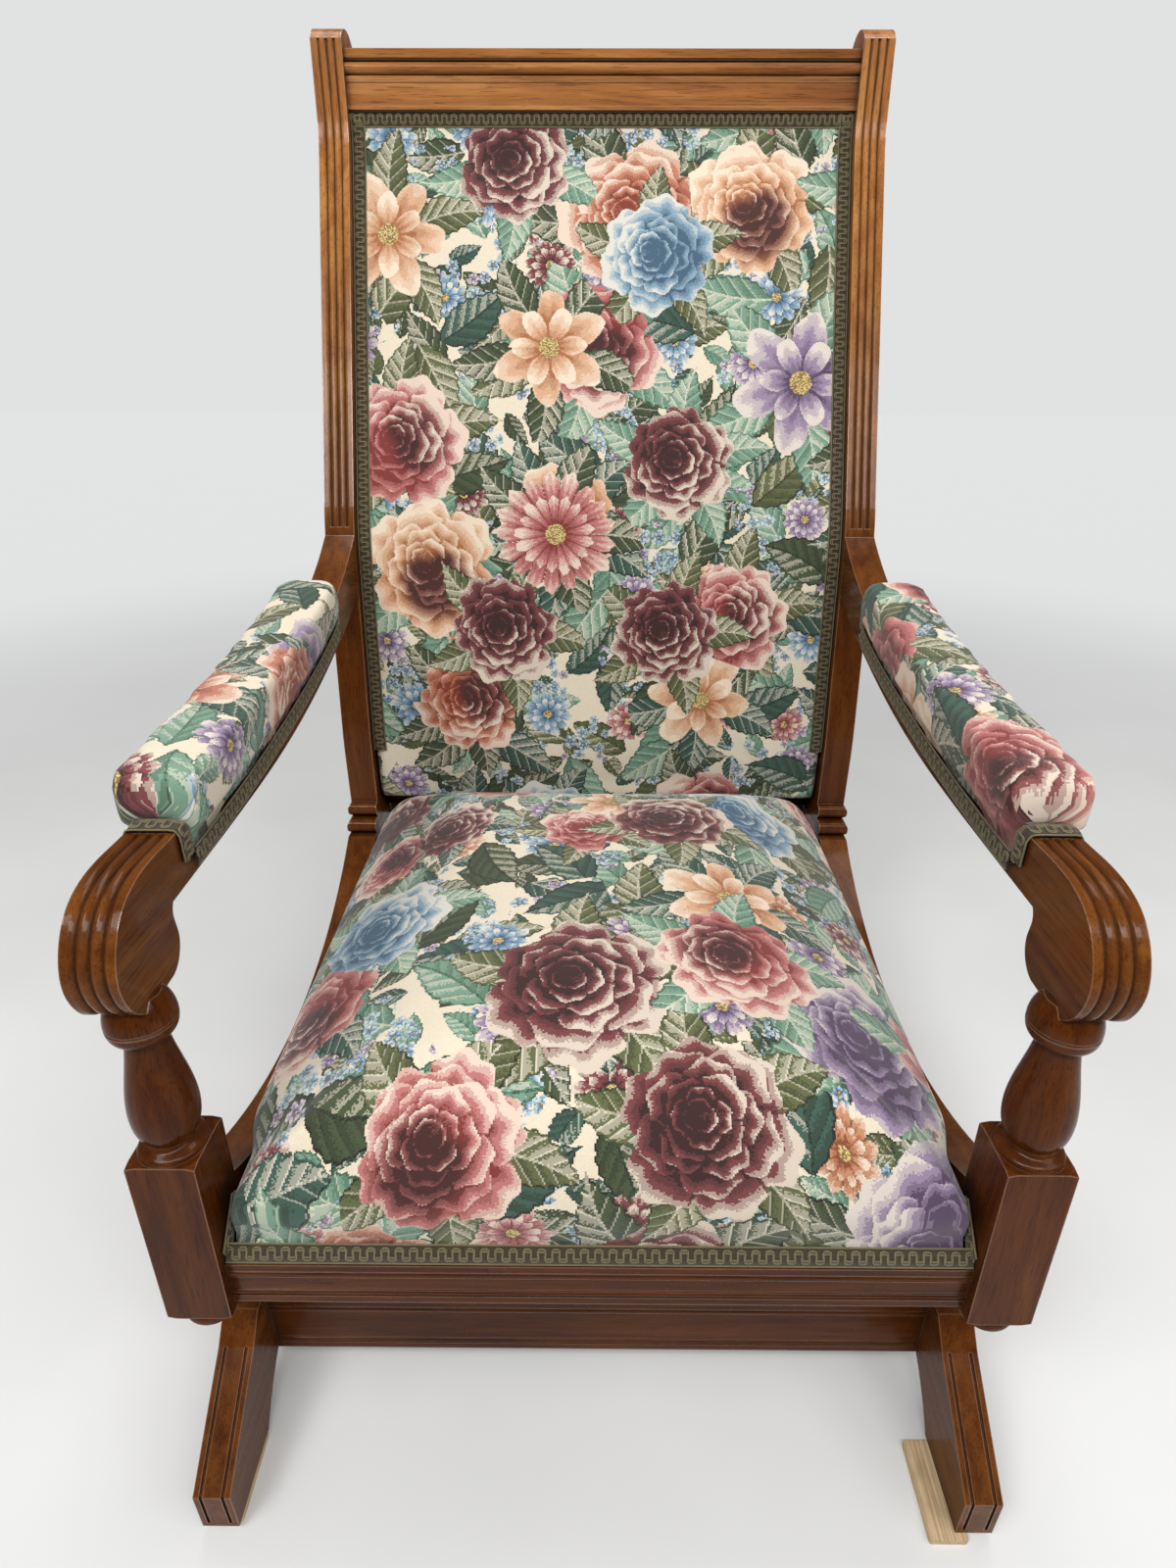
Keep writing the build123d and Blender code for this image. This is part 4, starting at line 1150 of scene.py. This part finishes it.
# %% [markdown]
# ### The arm pads
#
# Each arm has a round roll that is tucked in under its braid at the sides and ends.  A capsule would
# be quicker, but it wouldn't follow the curve of the arm.  So it is made as the seat is, with smaller
# cells and more relaxing, because it is only a hand wide.

# %% The arm pads
PAD_CELL, PAD_RELAX_TIMES, PAD_CAP = 4 * MM, 22, 4 * MM
PAD_SHOULDER = 6 * MM
PADS_CUT_ACROSS, PADS_CUT_APART, PADS_CUT_ALONG = 2.2, 0.9, 0.35
for side, sign in SIDES.items():
    pad = remeshed("arm_pad_" + side, "pad_" + side, PAD_CELL, PAD_RELAX_TIMES)
    low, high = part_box("arm_pad_" + side)
    middle = (low.x + high.x) / 2
    tree = tree_of(pad)
    skirt = normals_of(pad.data)[:, 2] < 0.15
    swell(pad, hidden_side(pad) | skirt, PAD_CAP)
    subdivided(pad)
    points = points_of(pad.data)
    ys, tops = [], []
    for y in np.linspace(low.y + 1 * MM, high.y - 1 * MM, 90):
        hit = tree.ray_cast(Vector((middle, y, FAR)), Vector((0, 0, -1)))[0]
        if hit is not None:
            ys.append(y)
            tops.append(hit.z)
    drop = np.clip(np.interp(points[:, 1], ys, tops) - points[:, 2] - PAD_SHOULDER, 0, SIDE_FALL)
    sideways = (points[:, 0] - middle) + np.sign(points[:, 0] - middle) * drop
    set_cloth(pad, sideways + PADS_CUT_ACROSS + PADS_CUT_APART * sign, points[:, 1] + PADS_CUT_ALONG)
    dress(pad, "arm_pad_" + side)
print("pads", len(pad.data.vertices), "points each")

# %% [markdown]
# ## Braid
#
# The braid that hides the tacks is a woven tape with two cords that wind along it in rounded loops,
# and a fine cord on each edge.  A bump could fake it, but at the edge of the seat it is seen against
# the wood, so its cords are real tubes.  The loops are sines across the tape, with a second sine of
# twice the pace along it, which makes them overhang.  A route gives points, the direction across
# the tape and the direction away from the cloth.

# %% Braid along a route
BRAID_PITCH, BRAID_THICK, CORD_RADIUS = 9.8 * MM, 1.2 * MM, 0.6 * MM
CORD_SWING, CORD_OVERHANG, CORD_BOB = 3.7 * MM, 1.5 * MM, 0.25 * MM
CORD_OFFSET, CORD_LIFT, EDGE_CORD_IN = 0.95 * MM, 0.45 * MM, 0.7 * MM
TAPE_SHARE = 0.94
TAPE_PROFILE = [(-0.5, 0.15), (-0.46, 0.8), (-0.2, 1.0), (0.2, 1.0), (0.46, 0.8), (0.5, 0.15)]


def resampled(route, step):
    """Even steps along a route of (place, across, out) vectors."""
    places = np.array([item[0][:] for item in route])
    lengths = np.concatenate([[0], np.cumsum(np.linalg.norm(np.diff(places, axis=0), axis=1))])
    stations = np.linspace(0, lengths[-1], max(2, round(lengths[-1] / step)) + 1)
    columns = []
    for part in range(3):
        values = np.array([item[part][:] for item in route])
        even = [np.interp(stations, lengths, values[:, axis]) for axis in range(3)]
        columns.append(np.stack(even, axis=1))
    return stations, columns


def braid(name, nodes, routes):
    """One braid piece made of several straight or curved runs."""
    points, faces, kinds = [], [], []
    for route in routes:
        stations, (places, across, out) = resampled(route, BRAID_PITCH / 10)
        across /= np.linalg.norm(across, axis=1, keepdims=True)
        out /= np.linalg.norm(out, axis=1, keepdims=True)

        def on_tape(sideways, height):
            return places + across * np.reshape(sideways, (-1, 1)) + out * np.reshape(height, (-1, 1))

        first = len(points)
        runs = [on_tape(np.full(len(places), share * BRAID_WIDTH * TAPE_SHARE),
                        np.full(len(places), tall * BRAID_THICK)) for share, tall in TAPE_PROFILE]
        for ring in zip(*runs):
            points.extend(ring)
        count = len(TAPE_PROFILE)
        for ring in range(len(places) - 1):
            for corner in range(count):
                a, b = first + ring * count + corner, first + ring * count + (corner + 1) % count
                faces.append((a, b, b + count, a + count))
                kinds.append(0)
        turning = stations * TURN / BRAID_PITCH
        swing, overhang = CORD_SWING * np.sin(turning), -CORD_OVERHANG * np.sin(2 * turning)
        bob = CORD_BOB * np.cos(2 * turning)
        ahead = np.gradient(places, axis=0)
        ahead /= np.linalg.norm(ahead, axis=1, keepdims=True)
        lines = [on_tape(swing + off, BRAID_THICK + CORD_LIFT + bob) + ahead * overhang[:, None]
                 for off in (-CORD_OFFSET, CORD_OFFSET)]
        lines += [on_tape(np.full(len(places), edge * (BRAID_WIDTH / 2 - EDGE_CORD_IN)),
                          np.full(len(places), BRAID_THICK * 0.8)) for edge in (-1, 1)]
        more, around = tubes(lines, CORD_RADIUS)
        start = len(points)
        points.extend(more)
        faces.extend(tuple(index + start for index in face) for face in around)
        kinds.extend([1] * len(around))
    piece = new_mesh(name, points, faces, tape, cord_wool)
    piece.data.polygons.foreach_set("material_index", kinds)
    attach(piece, "chair")
    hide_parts(*nodes)


# %% [markdown]
# ### Braid on the seat
#
# The seat's braid lies along its front edge, leaning back with it, and turns in beside each post.
# It could be bent round the posts' corners in one run, but so sharp a bend would crush its loops.
# So it is three runs that meet there.

# %% Braid on the seat
X, Y, Z = Vector((1, 0, 0)), Vector((0, 1, 0)), Vector((0, 0, 1))
low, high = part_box("gimp_seat")
height = (low.z + high.z) / 2
leaning = Vector((0, math.sin(BRAID_LEAN), math.cos(BRAID_LEAN)))
facing_out = Vector((0, -math.cos(BRAID_LEAN), math.sin(BRAID_LEAN)))
seat_route = [(Vector((x, high.y - 0.6 * MM, low.z)) + leaning * BRAID_WIDTH / 2, leaning, facing_out)
              for x in (low.x, high.x)]


def corner_return(sign):
    """Up and back along the inner side of a post's block, where the braid goes round the corner."""
    inside = sign * (high.x - 0.2 * MM)
    rise = Vector((0, 24, 22)).normalized()
    start = Vector((inside, high.y + 2 * MM, height))
    end = start + Vector((0, 28 * MM, 25 * MM))
    return [(place, rise.cross(X), -X * sign) for place in (start, end)]


braid("braid_seat", ["gimp_seat"], [seat_route, corner_return(1), corner_return(-1)])

# %% [markdown]
# ### Braid on the back
#
# The back's braid runs up both sides and along the top, on the panel's own curve.  A shrinkwrap
# would lay it there too, but it would also squash its cords.  So the route asks the CAD panel where
# its face is, and the braid is built standing on it.

# %% Braid on the back
low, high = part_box("gimp_back")
half = high.x - BRAID_WIDTH / 2


def on_back(x, z):
    """Route point on the panel's front: across points sideways, out points away from the panel."""
    near = 4 * MM
    slope = Vector((0, back_face(z + near) - back_face(z - near), 2 * near)).normalized()
    away = slope.cross(X)
    return Vector((x, back_face(z), z)), X, away * (-1 if away.y > 0 else 1), slope


def side_route(x):
    """Up one side of the panel."""
    rows = [on_back(x, z) for z in np.linspace(low.z, high.z - 1 * MM, 60)]
    return [(place, across, out) for place, across, out, slope in rows]


place, _, out, slope = on_back(0.0, high.z - BRAID_WIDTH * 0.48)
top_route = [(Vector((x, place.y, place.z)), slope, out) for x in (-high.x, high.x)]
braid("braid_back", ["gimp_back"], [side_route(-half), side_route(half), top_route])

# %% [markdown]
# ### Braid on the arms
#
# The braid of an arm pad runs down both sides of the arm and crosses over it at each end.  Its
# height changes along the arm.  It could be bent to a curve drawn by eye, but each strip follows the
# middle of the CAD's own strip, so it stays on the edge of the pad.

# %% Braid on the arms
STRIP_DEPTH, SKIN, CROSSING_OFF = 2.5 * MM, 1 * MM, 4 * MM
for side, sign in SIDES.items():
    low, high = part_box("gimp_arm_" + side)
    arm_tree = tree_of(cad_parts["arm_" + side])
    braid_tree = tree_of(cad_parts["gimp_arm_" + side])
    arm_low, arm_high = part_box("arm_" + side)
    middle = (low.x + high.x) / 2

    def strip(face_sign):
        """Along one face of the arm, in the middle of the CAD strip."""
        route = []
        for y in np.linspace(low.y + SKIN, high.y - SKIN, 50):
            x = middle + face_sign * ((high.x - low.x) / 2 - SKIN)
            top = braid_tree.ray_cast(Vector((x, y, FAR)), -Z)[0]
            bottom = braid_tree.ray_cast(Vector((x, y, 0.0)), Z)[0]
            if top is not None and bottom is not None:
                x = middle + face_sign * ((high.x - low.x) / 2 - STRIP_DEPTH)
                route.append((Vector((x, y, (top.z + bottom.z) / 2)), Z, X * face_sign))
        return route

    def over_arm(y):
        """Across the arm's top, from one side strip to the other."""
        half_width = (arm_high.x - arm_low.x) / 2 + SKIN
        top = arm_tree.ray_cast(Vector((middle, y, FAR)), -Z)[0].z
        route = []
        for x, z, out in ((-half_width, top - 22 * MM, -X), (-half_width, top - 3 * MM, -X),
                          (-half_width + 2 * MM, top + 0.6 * MM, (Z - X).normalized()),
                          (-half_width + 5 * MM, top + 1 * MM, Z),
                          (half_width - 5 * MM, top + 1 * MM, Z),
                          (half_width - 2 * MM, top + 0.6 * MM, (Z + X).normalized()),
                          (half_width, top - 3 * MM, X), (half_width, top - 22 * MM, X)):
            route.append((Vector((middle + x, y, z)), Y, out))
        return route

    braid("braid_arm_" + side, ["gimp_arm_" + side],
          [strip(1), strip(-1), over_arm(low.y - CROSSING_OFF), over_arm(high.y + CROSSING_OFF)])

# %% [markdown]
# ## Cloth behind and below
#
# The outside back is stretched over the stiles' rear edges and sinks in a little between them, and
# the black dust cloth is tacked under the rails and hangs slack.  Both are sheets that hardly move,
# so a grid of points with a hollow formula does what a simulation would, in no time.

# %% Stretched cloth
COLUMNS, ROWS = 60, 90
CLOTH_THICK, TACK_PULL, TACKS = 0.8 * MM, 0.25 * MM, 31


def stretched_cloth(name, node, corner, sink, finish):
    """A thin sheet with two faces over a CAD cloth: corner(u, v) gives its outer face."""
    outer, inner_face = [], []
    for row in range(ROWS + 1):
        for column in range(COLUMNS + 1):
            u, v = column / COLUMNS, row / ROWS
            place, out = corner(u, v)
            hollow = sink * (math.sin(math.pi * u) * math.sin(math.pi * v)) ** 0.6
            pull = TACK_PULL * math.sin(v * TACKS * math.pi) * (2 * abs(u - 0.5)) ** 6
            outer.append(place - out * (hollow + pull))
            inner_face.append(place - out * (hollow + pull + CLOTH_THICK))
    span = COLUMNS + 1
    faces = []
    total = len(outer)
    for row in range(ROWS):
        for column in range(COLUMNS):
            a = row * span + column
            faces.append((a, a + 1, a + span + 1, a + span))
            faces.append((total + a, total + a + span, total + a + span + 1, total + a + 1))
    piece = new_mesh(name, outer + inner_face, faces, finish)
    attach(piece, "chair")
    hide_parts(node)


print("stretched cloths have", (COLUMNS + 1) * (ROWS + 1), "points a side")

# %% [markdown]
# ### The outside back
#
# A plain cloth closes the back from behind.  It could be cut as a flat plane, but the stiles are
# curved, so it follows the rear face of the CAD cloth from level to level.

# %% The outside back
low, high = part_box("outside_back_cloth")
rear_tree = tree_of(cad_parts["outside_back_cloth"])
rear_levels = np.linspace(low.z + 3 * MM, high.z - 3 * MM, 60)
rear_faces = np.array([rear_tree.ray_cast(Vector((0, FAR, z)), -Y)[0].y for z in rear_levels])


def rear_corner(u, v):
    """Place on the CAD cloth's rear face, and the direction away from it."""
    z = rear_levels[0] + v * (rear_levels[-1] - rear_levels[0])
    y = float(np.interp(z, rear_levels, rear_faces))
    step = 10 * MM
    above, below = (float(np.interp(z + up, rear_levels, rear_faces)) for up in (step, -step))
    slope = (above - below) / (2 * step)
    return Vector((low.x + u * (high.x - low.x), y, z)), Vector((0, 1, -slope)).normalized()


REAR_HOLLOW = 0.4 * MM
stretched_cloth("outside_back", "outside_back_cloth", rear_corner, REAR_HOLLOW, back_cloth)

# %% [markdown]
# ### The dust cloth
#
# A thin black cloth under the seat keeps dust and stuffing off the floor.  Gravity in a simulation
# would make it hang, but it is tacked all round and sags only a few millimetres, so the same
# formula serves, with a deeper hollow.

# %% The dust cloth
DUST_SLACK, DUST_FRONT_GAP = 4 * MM, 40 * MM
dust_low, dust_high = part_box("dust_cloth")
dust_wide, dust_long = dust_high.x - dust_low.x, dust_high.y - dust_low.y - DUST_FRONT_GAP


def dust_corner(u, v):
    """Place on the level of the CAD cloth's underside; the hollow hangs down from it."""
    return Vector((dust_low.x + u * dust_wide, dust_low.y + DUST_FRONT_GAP + v * dust_long, dust_low.z)), Z


stretched_cloth("dust_lining", "dust_cloth", dust_corner, DUST_SLACK, lining)

# %% [markdown]
# ## Rocker springs
#
# Each side has two coil springs between the base and the rocker, which pull the chair back to rest.
# A helix modifier could make them, but a formula also brings the end turns closer together, as on
# a real spring.

# %% Rocker springs
WIRE, TURNS, STEPS_A_TURN, END_SQUEEZE = 2 * MM, 7, 24, 0.55
for side in SIDES:
    low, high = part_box("rocker_springs_" + side)
    radius = (high.x - low.x) / 2 - WIRE
    centre_x = (low.x + high.x) / 2
    lines = []
    for centre_y in (low.y + radius + WIRE, high.y - radius - WIRE):
        line = []
        for step in range(TURNS * STEPS_A_TURN + 1):
            share = step / (TURNS * STEPS_A_TURN)
            squeezed = share - END_SQUEEZE / TURNS * math.sin(TURN * share) / TURN * 2
            turn = TURN * TURNS * share
            line.append((centre_x + radius * math.cos(turn), centre_y + radius * math.sin(turn),
                         low.z + WIRE + (high.z - low.z - 2 * WIRE) * squeezed))
        lines.append(line)
    springs = new_mesh("springs_" + side, *tubes(lines, WIRE, 10), spring_steel)
    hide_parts("rocker_springs_" + side)
    middle = ((low.x + high.x) / 2, (low.y + high.y) / 2)
    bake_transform(springs)

# %% [markdown]
# ## Floor
#
# The chair stands in a plain studio.  A curved backdrop would hide the horizon, but it would show
# its own shading.  Here the floor is flat and fades to the sky's colour far off, for the camera
# only, so that no horizon is seen and the light on the chair stays as it is.

# %% Floor
SKY = (0.90, 0.905, 0.91)
SKY_SEEN, SKY_LIGHT = 0.84, 0.24
FLOOR_HALF, FLOOR_FADES_FROM, FLOOR_FADES_TO = 12.0, 0.75, 3.2


def floor_body(net):
    """Pale floor that fades into the sky's colour further off, for the camera only."""
    place = net.wire(net.add("TexCoord"), "Object")
    seen = net.wire(net.add("LightPath"), "Is Camera Ray")
    far = net.wire(net.add("VectorMath", {0: place}, operation="LENGTH"), 1)
    fade = net.add("MapRange", {"Value": far, "From Min": FLOOR_FADES_FROM, "From Max": FLOOR_FADES_TO},
                   interpolation_type="SMOOTHSTEP")
    fade = net.wire(fade) * seen
    tint = net.noise(place, 3.0, 3.0)
    pale = net.ramp(tint, [(0.3, (0.70, 0.70, 0.69)), (0.7, (0.75, 0.75, 0.74))])
    black, glow = (0.0, 0.0, 0.0, 1.0), tuple(part * SKY_SEEN for part in SKY)
    return {"Base_Color": net.mix(fade, pale, black),
            "Emission_Color": net.mix(fade, black, (*glow, 1.0)), "Roughness": tint * 0.2 + 0.6}


floor_finish = material("floor", floor_body, Specular_IOR_Level=0.1, Emission_Strength=1.0)
corners = [(x * FLOOR_HALF, y * FLOOR_HALF, 0) for x, y in ((-1, -1), (1, -1), (1, 1), (-1, 1))]
floor = new_mesh("floor", corners, [(0, 1, 2, 3)], floor_finish)

# %% [markdown]
# ## Light
#
# One sun would give hard shadows.  Large soft lights give soft ones: a key high on the left, a fill
# on the right and a wide one above and behind.  A long strip high in front draws the thin
# highlights along the beads.  The sky gives little light, but it is seen bright by the camera.

# %% Light
def area_light(name, place, target, size, power):
    """A rectangular lamp that looks at a target."""
    light = bpy.data.lights.new(name, "AREA")
    light.shape = "RECTANGLE"
    light.size, light.size_y = size
    light.energy = power
    lamp = bpy.data.objects.new(name, light)
    bpy.context.scene.collection.objects.link(lamp)
    lamp.location = place
    lamp.rotation_euler = (Vector(target) - Vector(place)).to_track_quat("-Z", "Y").to_euler()
    print("light", name, power, "W")


area_light("key", (-1.3, -1.5, 2.6), (0, 0, 0.5), (1.1, 0.8), 24)
area_light("fill", (1.9, -1.2, 1.9), (0, 0, 0.5), (1.2, 1.2), 14)
area_light("strip", (0, -1.75, 2.45), (0, 0, 0.5), (3.0, 0.55), 58)
area_light("top", (0.2, 0.7, 2.9), (0, 0.1, 0.6), (2.4, 0.8), 30)

world = bpy.data.worlds.new("studio")
world.use_nodes = True
net = Net(world.node_tree)
seen = net.wire(net.add("LightPath"), "Is Camera Ray")
sky = world.node_tree.nodes["Background"]
sky.inputs["Color"].default_value = (*SKY, 1.0)
world.node_tree.links.new(net.blend(seen, SKY_LIGHT, SKY_SEEN).socket, sky.inputs["Strength"])
bpy.context.scene.world = world
bpy.context.scene.view_settings.view_transform = "Standard"

# %% [markdown]
#
# Soft pieces may swell a little past the CAD model, but the chair mustn't grow.

bpy.context.view_layer.update()
